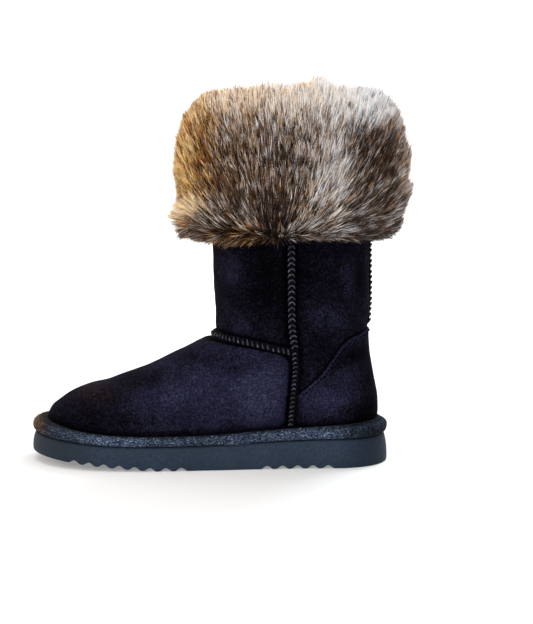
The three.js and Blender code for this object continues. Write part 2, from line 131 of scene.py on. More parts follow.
def smooth_column(keys, values):
    """A smooth curve through points, by keys that rise or fall steadily."""
    sign = np.sign(keys[-1] - keys[0])
    keys = np.asarray(keys, float) * sign
    values = np.asarray(values, float)
    low = np.maximum(np.arange(len(keys)) - 1, 0)
    high = np.minimum(np.arange(len(keys)) + 1, len(keys) - 1)
    slope = (values[high] - values[low]) / (keys[high] - keys[low])

    def at(place):
        place = np.asarray(place, float) * sign
        i = np.clip(np.searchsorted(keys, place) - 1, 0, len(keys) - 2)
        span = keys[i + 1] - keys[i]
        t = np.clip((place - keys[i]) / span, 0, 1)
        rise = t * t * (3 - 2 * t)
        bend = span * t * (1 - t) * (slope[i] * (1 - t) - slope[i + 1] * t)
        return values[i] * (1 - rise) + values[i + 1] * rise + bend

    return at


def smoothstep(low, high, value):
    t = np.clip((value - low) / (high - low), 0, 1)
    return t * t * (3 - 2 * t)


def groove(away, depth, at, half_width):
    """A soft hollow beside a line, by the distance from that line."""
    return depth * np.exp(-(((away - at) / half_width) ** 2))


def soft_patch(x, z, at_x, at_z, size_x, size_z):
    """A patch that is 1 in its middle and fades out."""
    return np.exp(-(((x - at_x) / size_x) ** 2) - ((z - at_z) / size_z) ** 2)


def patches(x, z, zones):
    """For each zone of a list, its soft patch and its other values."""
    for zone in zones:
        yield soft_patch(x, z, *zone[:4]), zone[4:]


def unit(vectors):
    return vectors / np.maximum(np.linalg.norm(vectors, axis=-1, keepdims=True), 1e-9)


def full_turn(count):
    return 2 * np.pi * np.arange(count) / count


def station_at(x):
    return (HEEL_X - x) / SOLE_LENGTH


def sole_curve(column):
    """A curve along the sole, by X."""
    curve = smooth_column(SOLE_SECTIONS[:, 0], SOLE_SECTIONS[:, column])
    return lambda x: curve(station_at(x))


sole_outer, sole_inner, sole_top, platform_top = (sole_curve(column) for column in range(1, 5))
seam_x = smooth_column(SIDE_SEAM[:, 1], SIDE_SEAM[:, 0])
ankle_z = smooth_column(ANKLE_SEAM[:, 0], ANKLE_SEAM[:, 1])
counter_z = smooth_column(COUNTER_EDGE[:, 0], COUNTER_EDGE[:, 1])


def sole_half(x, side):
    return np.where(side < 0, sole_outer(x), sole_inner(x))


def swing(x):
    return TOE_SWING * smoothstep(SWING_START, 1, station_at(x))


def underside(x):
    past = (station_at(x) - SPRING_START) / (1 - SPRING_START)
    return TOE_SPRING * np.maximum(past, 0) ** SPRING_POWER


def cap_share(distance, length, power):
    left = np.clip(1 - distance / length, 0, 1)
    return (1 - left**power) ** (1 / power)


def ring_stations(steps):
    """Stations from the back tip along the outer side to the front tip, then back along the inner side."""
    there = np.linspace(0, 1, steps + 1)
    back = there[1:-1][::-1]
    side = np.concatenate([np.full(steps + 1, -1), np.full(steps - 1, 1)])
    return np.concatenate([there, back]), side


def outline(stations, side, back_x, front_x, heel_cap, toe_cap, half):
    """Points of an outline seen from above. They lie closer together towards its round ends."""
    run = (1 - np.cos(np.pi * stations)) / 2
    x = back_x + (front_x - back_x) * run
    cap = cap_share(back_x - x, *heel_cap) * cap_share(x - front_x, *toe_cap)
    return x, swing(x) + side * half(x, side) * cap


def new_object(name, data):
    made = bpy.data.objects.new(name, data)
    bpy.context.scene.collection.objects.link(made)
    return made


def piece(name, points, quads, tris, material, slot, replaced=()):
    """A smooth mesh that rides with the boot."""
    quads = np.asarray(quads, np.int32).reshape(-1, 4)
    tris = np.asarray(tris, np.int32).reshape(-1, 3)
    corners = np.concatenate([quads.ravel(), tris.ravel()])
    sizes = np.concatenate([np.full(len(quads), 4), np.full(len(tris), 3)])
    starts = np.concatenate([[0], np.cumsum(sizes)[:-1]]).astype(np.int32)
    mesh = bpy.data.meshes.new(name)
    mesh.vertices.add(len(points))
    mesh.vertices.foreach_set("co", (np.asarray(points) * MM).astype(np.float32).ravel())
    mesh.loops.add(len(corners))
    mesh.loops.foreach_set("vertex_index", corners)
    mesh.polygons.add(len(sizes))
    mesh.polygons.foreach_set("loop_start", starts)
    mesh.update(calc_edges=True)
    mesh.validate()
    mesh.shade_smooth()
    mesh.materials.append(material)
    made = new_object(name, mesh)
    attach(made, "root")
    if replaced:
        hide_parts(*replaced)
    return made


def point_value(made, name, values):
    """Stores one number at each point of a mesh, for its material."""
    layer = made.data.attributes.new(name, "FLOAT", "POINT")
    layer.data.foreach_set("value", np.asarray(values, np.float32).ravel())


def grid_quads(rows, columns, closed):
    """Faces between neighbouring rows of points, which close round if the rows are rings."""
    strips = np.arange(columns if closed else columns - 1)
    i, j = np.meshgrid(np.arange(rows - 1), strips, indexing="ij")
    k = (j + 1) % columns
    low, next_low = i * columns + j, i * columns + k
    return np.stack([low, low + columns, next_low + columns, next_low], -1).reshape(-1, 4)


def sleeve(name, rings, material, slot, replaced=(), inward=False):
    """A piece made of rings of points, which faces outward or inward."""
    quads = grid_quads(*rings.shape[:2], closed=True)
    if inward:
        quads = quads[:, ::-1]
    return piece(name, rings.reshape(-1, 3), quads, [], material, slot, replaced)


def lid_faces(first, count, upward):
    """A lid over one ring: strips straight across, and a triangle at each end."""
    half = count // 2
    j = np.arange(1, half - 1)
    quads = first + np.stack([j, j + 1, count - j - 1, count - j], 1)
    tris = first + np.array([(0, 1, count - 1), (half - 1, half, half + 1)])
    return (quads[:, ::-1], tris[:, ::-1]) if upward else (quads, tris)


LUMP_WAVES = 7
LUMP_SIZES = (0.7, 1.5)  # least and most length of a wave, as a share of the lumps' size
LUMP_PHASE = 6.28  # most


def lump(points, height, size, seed):
    """A soft unevenness of a surface, made of a few waves."""
    turns = np.random.default_rng(seed)
    total = np.zeros(points.shape[:-1])
    for _ in range(LUMP_WAVES):
        direction = unit(turns.normal(size=3))
        stretch = 2 * np.pi / (size * turns.uniform(*LUMP_SIZES))
        total += np.sin(points @ direction * stretch + turns.uniform(0, LUMP_PHASE))
    return height * (total / 3)


def line_distance(x, z, line):
    """Distance to a line of points, and the share of its length at the nearest place."""
    best = np.full(np.shape(x), 1e9)
    share = np.zeros(np.shape(x))
    lengths = np.linalg.norm(np.diff(line, axis=0), axis=1)
    ends = np.concatenate([[0], np.cumsum(lengths)]) / lengths.sum()
    for i, (a, b) in enumerate(zip(line[:-1], line[1:])):
        step = b - a
        t = np.clip(((x - a[0]) * step[0] + (z - a[1]) * step[1]) / (step @ step), 0, 1)
        away = np.hypot(x - a[0] - t * step[0], z - a[1] - t * step[1])
        nearer = away < best
        best = np.where(nearer, away, best)
        share = np.where(nearer, ends[i] + t * (ends[i + 1] - ends[i]), share)
    return best, share


# Materials
SOCKETS = {
    "specular": "Specular IOR Level",
    "sheen": "Sheen Weight",
    "sheen_roughness": "Sheen Roughness",
    "sheen_tint": "Sheen Tint",
}
SUEDE_SHEEN = (0.62, 0.64, 0.85, 1)
# Brown of the painted warm light on top of the toe
WARM_LIGHT_BROWN = (0.0105, 0.0072, 0.0082, 1)


class Look:
    """One procedural material. Its patterns are placed in the boot's own metres."""

    def __init__(self, name, roughness, **fixed):
        self.material = bpy.data.materials.new(name)
        self.material.use_nodes = True
        self.nodes = self.material.node_tree.nodes
        self.links = self.material.node_tree.links
        self.surface = self.nodes["Principled BSDF"]
        self.surface.inputs["Roughness"].default_value = roughness
        for socket, value in fixed.items():
            self.surface.inputs[SOCKETS[socket]].default_value = value
        self.place = self.nodes.new("ShaderNodeTexCoord").outputs["Object"]

    def join(self, value, socket):
        if isinstance(value, bpy.types.NodeSocket):
            self.links.new(value, socket)
        else:
            socket.default_value = value

    def node(self, kind, **inputs):
        made = self.nodes.new("ShaderNode" + kind)
        for name, value in inputs.items():
            self.join(value, made.inputs[name])
        return made

    def noise(self, scale, detail, roughness, stretch=None, place=None):
        place = place or self.place
        if stretch:
            place = self.node("Mapping", Vector=place, Scale=stretch).outputs["Vector"]
        made = self.node("TexNoise", Vector=place, Scale=scale, Detail=detail, Roughness=roughness)
        return made.outputs["Fac"]

    def lengthwise(self):
        """The share of the sole's length, from the toe to the heel."""
        x = self.node("SeparateXYZ", Vector=self.place).outputs["X"]
        return self.math("DIVIDE", self.math("ADD", x, HEEL_X * MM), SOLE_LENGTH * MM)

    def attribute(self, name):
        made = self.node("Attribute")
        made.attribute_name = name
        return made.outputs["Fac"]

    def math(self, operation, first, second):
        made = self.node("Math")
        made.operation = operation
        self.join(first, made.inputs[0])
        self.join(second, made.inputs[1])
        return made.outputs[0]

    def about_zero(self, pattern, amount):
        return self.math("MULTIPLY", self.math("SUBTRACT", pattern, 0.5), amount)

    def ramp(self, factor, stops):
        made = self.node("ValToRGB", Fac=factor)
        elements = made.color_ramp.elements
        while len(elements) < len(stops):
            elements.new(0.5)
        for element, (at, colour) in zip(elements, stops):
            element.position = at
            element.color = (*colour, 1)
        return made.outputs["Color"]

    def greys(self, factor, *stops):
        return self.ramp(factor, [(at, grey(value)) for at, value in stops])

    def mix(self, factor, first, second, blend="MIX"):
        made = self.node("Mix")
        made.data_type = "RGBA"
        made.blend_type = blend
        # Sockets 6 and 7, and output 2, are those for colours
        for number, value in ((0, factor), (6, first), (7, second)):
            self.join(value, made.inputs[number])
        return made.outputs[2]

    def times(self, first, second):
        return self.mix(1, first, second, "MULTIPLY")

    def colour(self, value, *shades):
        """Sets the base colour, multiplied by the shades."""
        for shade in shades:
            value = self.times(value, shade)
        self.join(value, self.surface.inputs["Base Color"])

    def bump(self, *layers):
        """Small relief: each layer is a height pattern and its full height in millimetres."""
        normal = None
        for height, depth in layers:
            made = self.node("Bump", Height=height, Distance=depth * MM)
            if normal:
                self.links.new(normal, made.inputs["Normal"])
            normal = made.outputs["Normal"]
        self.links.new(normal, self.surface.inputs["Normal"])


def grey(value):
    return (value, value, value)


def plain_look(name, roughness, scale, detail, dark, light, relief, **fixed):
    """A material with one fine pattern of two colours."""
    look = Look(name, roughness, **fixed)
    pattern = look.noise(scale, detail, 0.7)
    look.colour(look.ramp(pattern, [(0.3, dark), (0.7, light)]))
    look.bump((pattern, relief))
    return look.material


def suede_look():
    look = Look("suede", 0.95, specular=0.01, sheen=0.012, sheen_roughness=0.4, sheen_tint=SUEDE_SHEEN)
    cloud = look.noise(45, 4, 0.6)
    mottle = look.noise(260, 4, 0.7)
    nap = look.noise(700, 3, 0.75)
    uneven = look.math("ADD", look.about_zero(cloud, 0.38), look.about_zero(mottle, 0.5))
    tone = look.math("ADD", look.attribute("tone"), uneven)
    base = look.ramp(tone, [
        (0, (0.0008, 0.0006, 0.0012)), (0.3, (0.004, 0.0035, 0.0068)),
        (0.6, (0.0145, 0.0152, 0.034)), (1, (0.045, 0.048, 0.087)),
    ])
    dark_fleck = look.greys(nap, (0.32, 0.05), (0.5, 0.85), (0.68, 3.6))
    pale_fleck = look.greys(nap, (0.3, 0.25), (0.5, 0.92), (0.7, 2.4))
    fleck = look.mix(look.greys(tone, (0.2, 0), (0.5, 1)), dark_fleck, pale_fleck)
    # Painted warm light: a brownish place on top of the toe
    warm_lit = look.mix(look.attribute("warm_lit"), base, WARM_LIGHT_BROWN)
    look.colour(warm_lit, fleck)
    look.bump((mottle, 0.4), (nap, 0.25))
    return look.material


def binding_look():
    look = Look("wrap_binding", 0.9, specular=0.04, sheen=0.03, sheen_roughness=0.4,
                sheen_tint=(0.7, 0.8, 1, 1))
    cloud = look.noise(120, 4, 0.65)
    fleck = look.noise(1050, 3, 0.75, (0.65, 0.65, 1.25))
    fibre = look.noise(500, 4, 0.7, (1, 1, 2.6))
    base = look.ramp(fleck, [
        (0.33, (0.002, 0.0035, 0.009)), (0.47, (0.018, 0.027, 0.051)), (0.58, (0.07, 0.098, 0.15)),
        (0.72, (0.42, 0.5, 0.62)),
    ])
    patchy = look.greys(cloud, (0.3, 0.6), (0.7, 1.3))
    # Painted light along the wrap: warm light at the toe's tip, shade at the heel's end, and lighter and
    # darker stretches between
    painted_light_along = look.ramp(look.lengthwise(), [
        (0, (6, 3.2, 0.7)), (0.012, (2.1, 0.85, 0.28)), (0.03, (0.9, 0.39, 0.17)),
        (0.06, (0.42, 0.33, 0.27)), (0.09, grey(0.45)), (0.15, grey(0.56)), (0.22, grey(1.35)),
        (0.3, grey(1.25)), (0.4, grey(0.75)), (0.6, grey(0.9)), (0.82, grey(0.95)), (0.9, grey(0.34)),
        (0.95, grey(0.16)),
    ])
    # Painted shade at the wrap's top, under the upper, and at its foot, by the share of its height
    edge = look.greys(look.attribute("rise"), (0, 0.3), (0.2, 1.05), (0.5, 1.1), (0.7, 0.85),
                      (0.85, 0.4), (1, 0.2))
    look.colour(base, patchy, painted_light_along, edge)
    look.bump((fibre, 0.6), (fleck, 0.3))
    return look.material


def foam_look():
    look = Look("sole_foam", 0.62, specular=0.12)
    cloud = look.noise(30, 4, 0.6)
    speck = look.noise(1400, 3, 0.7)
    base = look.ramp(cloud, [(0.3, (0.0165, 0.0275, 0.046)), (0.7, (0.024, 0.038, 0.061))])
    dust = look.greys(look.noise(620, 3, 0.7), (0.3, 0.72), (0.7, 1.28))
    # Darker towards the toe and the heel
    darker_ends = look.greys(look.lengthwise(), (0, 0.5), (0.1, 0.6), (0.22, 1.05), (0.4, 1), (0.85, 1),
                      (0.94, 0.62), (1, 0.5))
    look.colour(base, dust, darker_ends)
    roughness = look.math("ADD", look.math("MULTIPLY", speck, 0.25), 0.5)
    look.join(roughness, look.surface.inputs["Roughness"])
    look.bump((speck, 0.12))
    return look.material


def thread_look():
    look = Look("seam_thread", 0.7, specular=0.15, sheen=0.05, sheen_roughness=0.4,
                sheen_tint=(0.8, 0.8, 0.95, 1))
    ply = look.noise(900, 3, 0.7)
    wear = look.noise(170, 2, 0.6)
    base = look.ramp(ply, [
        (0.3, (0.004, 0.004, 0.006)), (0.48, (0.022, 0.021, 0.031)), (0.7, (0.15, 0.146, 0.19)),
    ])
    look.colour(base, look.greys(wear, (0.35, 0.5), (0.65, 1.7)), look.attribute("tone"))
    look.bump((ply, 0.35))
    return look.material


def dark_roll_look():
    dark, light = (0.0012, 0.001, 0.0016), (0.006, 0.0056, 0.009)
    return plain_look("seam_roll", 0.95, 1300, 3, dark, light, 0.3, specular=0.01, sheen=0.01,
                      sheen_roughness=0.4, sheen_tint=SUEDE_SHEEN)


def dark_thread_look():
    dark, light = (0.0002, 0.0002, 0.0003), (0.0009, 0.0008, 0.0013)
    return plain_look("counter_thread", 0.95, 900, 3, dark, light, 0.2, specular=0.01)


def pile_look():
    look = Look("pile_lining", 1, specular=0.1, sheen=0.2, sheen_roughness=0.5)
    tuft = look.noise(420, 4, 0.7)
    cloud = look.noise(60, 3, 0.6)
    base = look.ramp(tuft, [
        (0.3, (0.03, 0.02, 0.015)), (0.5, (0.1, 0.07, 0.052)), (0.72, (0.26, 0.2, 0.16)),
    ])
    look.colour(base, look.greys(cloud, (0.3, 0.7), (0.7, 1.2)))
    look.bump((tuft, 1.6))
    return look.material


# Rows of fur colours, each from dark to light: cool grey, brown, rust and golden
FUR_ROWS = [
    [(0.004, 0.0035, 0.004), (0.045, 0.038, 0.04), (0.25, 0.23, 0.24), (0.62, 0.6, 0.625),
     (0.97, 0.98, 1)],
    [(0.004, 0.0025, 0.002), (0.046, 0.026, 0.018), (0.225, 0.145, 0.1), (0.56, 0.42, 0.33),
     (0.97, 0.89, 0.8)],
    [(0.006, 0.0025, 0.0015), (0.068, 0.027, 0.009), (0.3, 0.135, 0.045), (0.63, 0.365, 0.165),
     (0.98, 0.82, 0.58)],
    [(0.012, 0.005, 0.002), (0.13, 0.047, 0.01), (0.54, 0.225, 0.045), (0.95, 0.5, 0.11),
     (1, 0.82, 0.42)],
]
FUR_STOPS = (0, 0.3, 0.6, 0.8, 0.995)


def fur_look():
    """The first value of a hair's map picks its colour, the second runs from its root to its tip."""
    look = Look("fur", 0.6, specular=0.12)
    hair_map = look.node("UVMap")
    hair_map.uv_map = "HairMap"
    split = look.node("SeparateXYZ", Vector=hair_map.outputs["UV"])
    rows = [zip(FUR_STOPS, row) for row in FUR_ROWS]
    stops = [((i + at) / len(rows), colour) for i, row in enumerate(rows) for at, colour in row]
    base = look.ramp(split.outputs["X"], stops)
    # Painted shade at the roots, where the hairs shadow each other
    along = look.greys(split.outputs["Y"], (0, 0.04), (0.32, 0.25), (0.62, 0.9), (1, 1.2))
    light = look.math("FRACT", look.math("MULTIPLY", split.outputs["X"], len(FUR_ROWS)), 0)
    pale = look.greys(light, (0.7, 0), (1, 0.8))
    # Painted shade between the locks, with some lighter strands; the palest hairs keep most of their colour
    gap_shade_noise = look.noise(1, 2, 0.6, (240, 6, 1), hair_map.outputs["UV"])
    gap_shade = look.greys(gap_shade_noise, (0.32, 0.18), (0.5, 1), (0.68, 1.6))
    shade = look.mix(pale, look.times(along, gap_shade), (1, 1, 1, 1))
    look.colour(base, shade)
    return look.material


def undercoat_look():
    dark, light = (0.004, 0.003, 0.003), (0.03, 0.021, 0.017)
    return plain_look("undercoat", 1, 350, 4, dark, light, 2, specular=0.1)


# Flat pieces of the sole
def plate_rings(edge, bottom, top, steps, heel_inset=0, toe_inset=0):
    stations, side = ring_stations(steps)
    rings = []
    for inset, share in edge:
        def half(x, sign, inset=inset):
            return sole_half(x, sign) - inset

        back_x = HEEL_X - inset - heel_inset
        front_x = -HEEL_X + inset + toe_inset
        x, y = outline(stations, side, back_x, front_x, HEEL_CAP, TOE_CAP, half)
        low, high = bottom(x), top(x)
        rings.append(np.stack([x, y, low + (high - low) * share], 1))
    return np.array(rings)


def plate_piece(name, rings, material, slot, replaced):
    count = rings.shape[1]
    low_quads, low_tris = lid_faces(0, count, upward=False)
    high_quads, high_tris = lid_faces((len(rings) - 1) * count, count, upward=True)
    quads = np.concatenate([grid_quads(len(rings), count, closed=True), low_quads, high_quads])
    tris = np.concatenate([low_tris, high_tris])
    return piece(name, rings.reshape(-1, 3), quads, tris, material, slot, replaced)


def ribbed_underside(x):
    """The sole's underside with its round grooves straight across."""
    depth = np.zeros(np.shape(x))
    for first, count in GROOVE_FIELDS:
        for i in range(count):
            away = np.abs(x - first - i * GROOVE_PITCH) / GROOVE_HALF
            depth = np.maximum(depth, np.where(away < 1, 0.5 + 0.5 * np.cos(np.pi * away), 0))
    return underside(x) + GROOVE_DEPTH * depth**GROOVE_FULLNESS


def build_outsole(material):
    rings = plate_rings(OUTSOLE_EDGE, ribbed_underside, sole_top, steps=420)
    plate_piece("outsole_foam", rings, material, "sole_foam", ["outsole"])


WRAP_LUMPS = ((0.35, 26, 3), (0.22, 9, 4))  # height, size and seed
# How far the points of the wrap's edge profile yield to its lumps: numbers of points, and shares
WRAP_GIVE = ((0, 2, 6, 12, 17), (0, 0.6, 1, 0.6, 0))
# The wrap's ends lap on the outer side: X where the lap begins and ends, and the points that it lifts
LAP_BEGIN = (12, 15)
LAP_END = (30, 38)
LAP_POINTS = ((0, 4, 9), (1, 1, 0))
LAP_RISE = 0.7
LAP_DROP = 0.9
ENDWAYS = 0.2  # share of the length in the direction that counts as outward


def build_wrap(material):
    rings = plate_rings(WRAP_EDGE, lambda x: sole_top(x) + GAP, platform_top, steps=300)
    x, y = rings[..., 0], rings[..., 1]
    out = unit(np.stack([ENDWAYS * x, y - swing(x), np.zeros(x.shape)], -1))
    soft = sum(lump(rings, *layer) for layer in WRAP_LUMPS)
    give, lifted = (np.interp(np.arange(len(rings)), *table)[:, None] for table in (WRAP_GIVE, LAP_POINTS))
    lap = smoothstep(*LAP_BEGIN, x) * (1 - smoothstep(*LAP_END, x)) * (y < 0) * lifted
    rings += out * (soft * give + LAP_RISE * lap)[..., None]
    rings[..., 2] -= LAP_DROP * lap
    made = plate_piece("platform_binding", rings, material, "wrap_binding", ["platform_wrap"])
    point_value(made, "rise", np.repeat(np.linspace(0, 1, len(rings)), rings.shape[1]))


def build_insole(material):
    def low(x):
        return platform_top(x) + GAP

    def high(x):
        return low(x) + INSOLE_THICKNESS

    rings = plate_rings(INSOLE_EDGE, low, high, 120, *INSOLE_INSETS)
    plate_piece("insole_pile", rings, material, "pile_lining", ["insole"])


# Upper
def upper_section(stations, side, back_x, back_z, front_x, front_z, sag, heel, toe, half, share):
    longest = (back_x - front_x) / 2
    caps = [(min(length, longest), UPPER_CAP_POWER) for length in (heel, toe)]

    def width(x, sign):
        return (sole_half(x, sign) - UPPER_SIDE_INSET) * (1 - share) + half * share

    x, y = outline(stations, side, back_x, front_x, *caps, width)
    run = (back_x - x) / (back_x - front_x)
    return np.stack([x, y, back_z + (front_z - back_z) * run - sag * 4 * run * (1 - run)], 1)


def upper_surface(stations, side, rows):
    """Points and outward directions of the upper's outer face. Rows run from the platform to the fold."""
    sections = np.array([upper_section(stations, side, *sizes) for sizes in UPPER_SECTIONS])
    sections[0, :, 2] = platform_top(sections[0, :, 0]) + GAP
    below = 2 * sections[:1] - sections[1:2]
    above = 2 * sections[-1:] - sections[-2:-1]
    sections = np.concatenate([below, sections, above])
    first = np.clip(np.floor(rows).astype(int), 0, len(UPPER_SECTIONS) - 2)
    t = (rows - first)[:, None, None]
    a, b, c, d = (sections[first + k] for k in range(4))
    pairs = ((a, b), (b, c), (c, d))
    before, between, after = (np.sqrt(np.linalg.norm(q - p, axis=2, keepdims=True)) for p, q in pairs)
    start = ((b - a) / before - (c - a) / (before + between) + (c - b) / between) * between
    end = ((c - b) / between - (d - b) / (between + after) + (d - c) / after) * between
    rise = t * t * (3 - 2 * t)
    points = b * (1 - rise) + c * rise + start * t * (1 - t) ** 2 - end * t * t * (1 - t)
    along = np.gradient(points, axis=1)
    # The two ends of a row count as neighbours
    along[:, 0] = points[:, 1] - points[:, -1]
    along[:, -1] = points[:, 0] - points[:, -2]
    return points, unit(np.cross(np.gradient(points, axis=0), along))


# Creases of the outer side: points in X and Z, half width and depth (a ridge if negative)
CREASES = [
    ([(-95, 55), (-73, 60), (-48, 67.5), (-23, 71)], 9, 1.6),
    ([(-104, 50), (-84, 49), (-62, 54)], 8, 0.8),
    ([(8, 77.5), (22, 77), (36, 74.5)], 4, 1),
    ([(25, 90), (25.5, 80), (22, 70)], 4.5, 0.7),
    ([(-20, 88), (-2, 82), (14, 84)], 5, 0.8),
    ([(18, 165), (22, 152), (16, 138)], 11, -1.4),
    ([(42, 168), (43.5, 150), (42, 126)], 13, 1.5),
    ([(26, 126), (40, 116), (54, 112)], 7, 0.8),
    ([(99, 164), (99.5, 150), (97, 134)], 5, 1.2),
    ([(108, 160), (106, 144), (108, 128)], 4.5, -0.9),
    ([(115.5, 166), (115.5, 147), (114, 130)], 2.6, 1.1),
    ([(80, 122), (92, 114), (108, 112)], 8, -0.9),
    ([(76, 104), (88, 98), (96, 103)], 6, 0.8),
]
# Creases of the heel counter
COUNTER_CREASES = [
    ([(98, 79), (110, 87), (123, 84)], 4.5, 1.1),
    ([(84, 50), (96, 54), (108, 52)], 8, -0.8),
    ([(108, 40), (122, 41), (131, 46)], 6, 0.9),
    ([(112, 70), (122, 66), (130, 60)], 5, 0.6),
]
CREASE_FADE = 0.25  # share of a crease's length, at each end, over which it grows
CREASE_END = 0.25  # share of its depth that it has at its ends
CREASE_SHADE = 0.08  # painted shade in the creases, and painted light on the ridges, for each millimetre of a crease's depth
INNER_SIDE = 0.75  # share of the creases' depth on the inner side

# Forms of the suede beside its lines: depth (or height of a swell), distance and half width
SIDE_GUTTER = (1.7, 3.3, 1.5)
SIDE_SWELL = (0.9, 9, 5)
ANKLE_HALF = 3.2
ANKLE_GUTTER = (1, ANKLE_HALF, 1)
VAMP_GUTTER = (2.2, 0, 1)
VAMP_SWELL = (0.7, 5, 3.5)
VAMP_SWELL_X = (-5, 25)  # the swell grows between these
VAMP_CLEAR = 4  # from the side seam to the vamp
VAMP_CORNER = 8  # radius
COUNTER_LIP = (1, 0.5, 0.6)
COUNTER_LIP_X = (110, 122)  # the lip ends between these
FOOT_TUCK = (1.1, 0, 2.2)
FOOT_SWELL = (0.8, 9, 5)
PUCKER = (0.22, 0, 7)
PUCKER_WAVE = np.array([0.35, 0, 1.35])
SUEDE_LUMPS = ((0.45, 42, 5), (0.2, 15, 6))  # height, size and seed
DEEPEST = 2.4  # of any trough in the suede
BEHIND_SEAM = 1
FAR = 99


def crease_depth(x, z, creases):
    total = np.zeros(np.shape(x))
    for line, half_width, depth in creases:
        away, share = line_distance(x, z, np.array(line, float))
        grown = smoothstep(0, CREASE_FADE, share) * (1 - smoothstep(1 - CREASE_FADE, 1, share))
        total += groove(away, depth, 0, half_width) * (grown * (1 - CREASE_END) + CREASE_END)
    return total


def vamp_inside(x, z):
    """Distance in from the edge of the vamp, whose upper rear corner is round."""
    from_seam = seam_x(z) - VAMP_CLEAR - x
    from_ankle = ankle_z(x) - ANKLE_HALF - z
    near_seam, near_ankle = VAMP_CORNER - from_seam, VAMP_CORNER - from_ankle
    corner = VAMP_CORNER - np.hypot(near_seam, near_ankle)
    in_corner = (near_seam > 0) & (near_ankle > 0)
    return np.where(in_corner, corner, np.minimum(from_seam, from_ankle))


def seam_gutter(x, z):
    """Depth of the gutters beside the seams, less the swell of the panels between them."""
    beside = np.abs(x - seam_x(z))
    front = x < seam_x(z)
    above_ankle = z - ankle_z(x)
    side_line = groove(beside, *SIDE_GUTTER) - groove(beside, *SIDE_SWELL)
    inside = vamp_inside(x, z)
    vamp = groove(inside, *VAMP_GUTTER) - groove(inside, *VAMP_SWELL) * smoothstep(*VAMP_SWELL_X, x)
    shaft = side_line + np.where(front, groove(above_ankle, *ANKLE_GUTTER), 0)
    return np.where(front & (above_ankle < 0), vamp, shaft)


def upper_form(points):
    """How far the suede stands out from the plain form of the upper."""
    x, y, z = points[..., 0], points[..., 1], points[..., 2]
    folds = crease_depth(x, z, CREASES) * np.where(y < swing(x), 1, INNER_SIDE)
    counter = np.where(x > seam_x(z) + BEHIND_SEAM, z - counter_z(x), FAR)
    lip = groove(counter, *COUNTER_LIP) * (1 - smoothstep(*COUNTER_LIP_X, x))
    sunk = COUNTER_SINK * smoothstep(*COUNTER_SINK_RUN, -counter)
    height = z - platform_top(x)
    tuck = groove(height, *FOOT_TUCK) - groove(height, *FOOT_SWELL)
    pucker = np.sin(points @ PUCKER_WAVE) * groove(x - seam_x(z), *PUCKER)
    soft = sum(lump(points, *layer) for layer in SUEDE_LUMPS)
    return np.maximum(soft + pucker - folds - seam_gutter(x, z) - lip - sunk - tuck, -DEEPEST)


# Tones of the panels, partly the suede's own and partly painted shade (the shaft darker than the vamp): 0 is
# darkest, 1 is lightest
VAMP_TONE = 0.42
FRONT_SHAFT_TONE = 0.24
BACK_SHAFT_TONE = 0.25
COUNTER_TONE = 0.36
# Painted light and shade on the suede, in zones: X, Z, half sizes, strength
LIGHT_AND_SHADE_ZONES = [
    (-5, 60, 60, 26, 0.2), (45, 58, 22, 30, 0.2), (-100, 44, 30, 16, -0.22), (-60, 37, 70, 7, -0.12),
    (-70, 70, 40, 6, -0.16), (-30, 84, 30, 8, -0.12), (22, 158, 12, 14, 0.08), (46, 150, 16, 34, -0.13),
    (30, 112, 26, 12, 0.1), (74, 156, 12, 20, -0.14), (101, 148, 9, 16, 0.12), (90, 114, 20, 14, 0.08),
    (92, 54, 22, 14, 0.2), (112, 86, 14, 7, -0.2), (120, 42, 20, 9, -0.16), (126, 70, 7, 40, -0.2),
    (84, 92, 14, 8, -0.08),
]
# Painted shadow beside the seams and edges: strength, distance and half width
SEAM_SHADE = (0.4, 0, 5.5)
VAMP_SHADE = (0.9, 0, 0.9)
ANKLE_SHADE = (0.45, ANKLE_HALF, 1.4)
COUNTER_SHADE = (0.9, 0.4, 0.7)
FOOT_SHADE = (0.35, 0, 4)
COUNTER_RIM_HIGHLIGHT = (0.22, 1.6, 1.6)  # painted highlight: a lighter line inside the counter's edge
WARM_LIT_TOE = (-90, 58, 17, 8)  # painted warm light: X, Z and half sizes of a brownish place on top of the toe
WARM_LIT_SHARE = 0.6


# Painted light and shade of the suede over the tones of its panels: zones, shadows beside the seams and
# edges, and shade in the creases
def suede_tone(points):
    x, z = points[..., 0], points[..., 2]
    front = x < seam_x(z)
    above_ankle, above_counter = z - ankle_z(x), z - counter_z(x)
    front_tone = np.where(above_ankle > 0, FRONT_SHAFT_TONE, VAMP_TONE)
    back_tone = np.where(above_counter > 0, BACK_SHAFT_TONE, COUNTER_TONE)
    tone = np.where(front, front_tone, back_tone)
    for near, (strength,) in patches(x, z, LIGHT_AND_SHADE_ZONES):
        tone = tone + strength * near
    front_lines = groove(vamp_inside(x, z), *VAMP_SHADE) + groove(above_ankle, *ANKLE_SHADE)
    tone = tone - np.where(front, front_lines, groove(above_counter, *COUNTER_SHADE))
    tone = tone - groove(x - seam_x(z), *SEAM_SHADE) - groove(z - platform_top(x), *FOOT_SHADE)
    return tone - CREASE_SHADE * crease_depth(x, z, CREASES)


def build_upper(material):
    """Returns the plain form of the upper that the seams follow."""
    steps = [i + np.arange(count) / count for i, count in enumerate(ROW_STEPS)]
    rows = np.append(np.concatenate(steps), len(ROW_STEPS))
    points, normals = upper_surface(*ring_stations(steps=220), rows)
    skin = points + normals * upper_form(points)[..., None]
    made = sleeve("upper_suede", skin, material, "suede", ["upper"])
    point_value(made, "tone", suede_tone(points))
    # Painted warm light on top of the toe
    point_value(made, "warm_lit", WARM_LIT_SHARE * soft_patch(points[..., 0], points[..., 2], *WARM_LIT_TOE))
    return points, normals


LINING_GAP = 0.7  # from the wall's inner face to the pile
LINING_LUMP = (0.5, 12, 8)
LINING_ROWS = 70


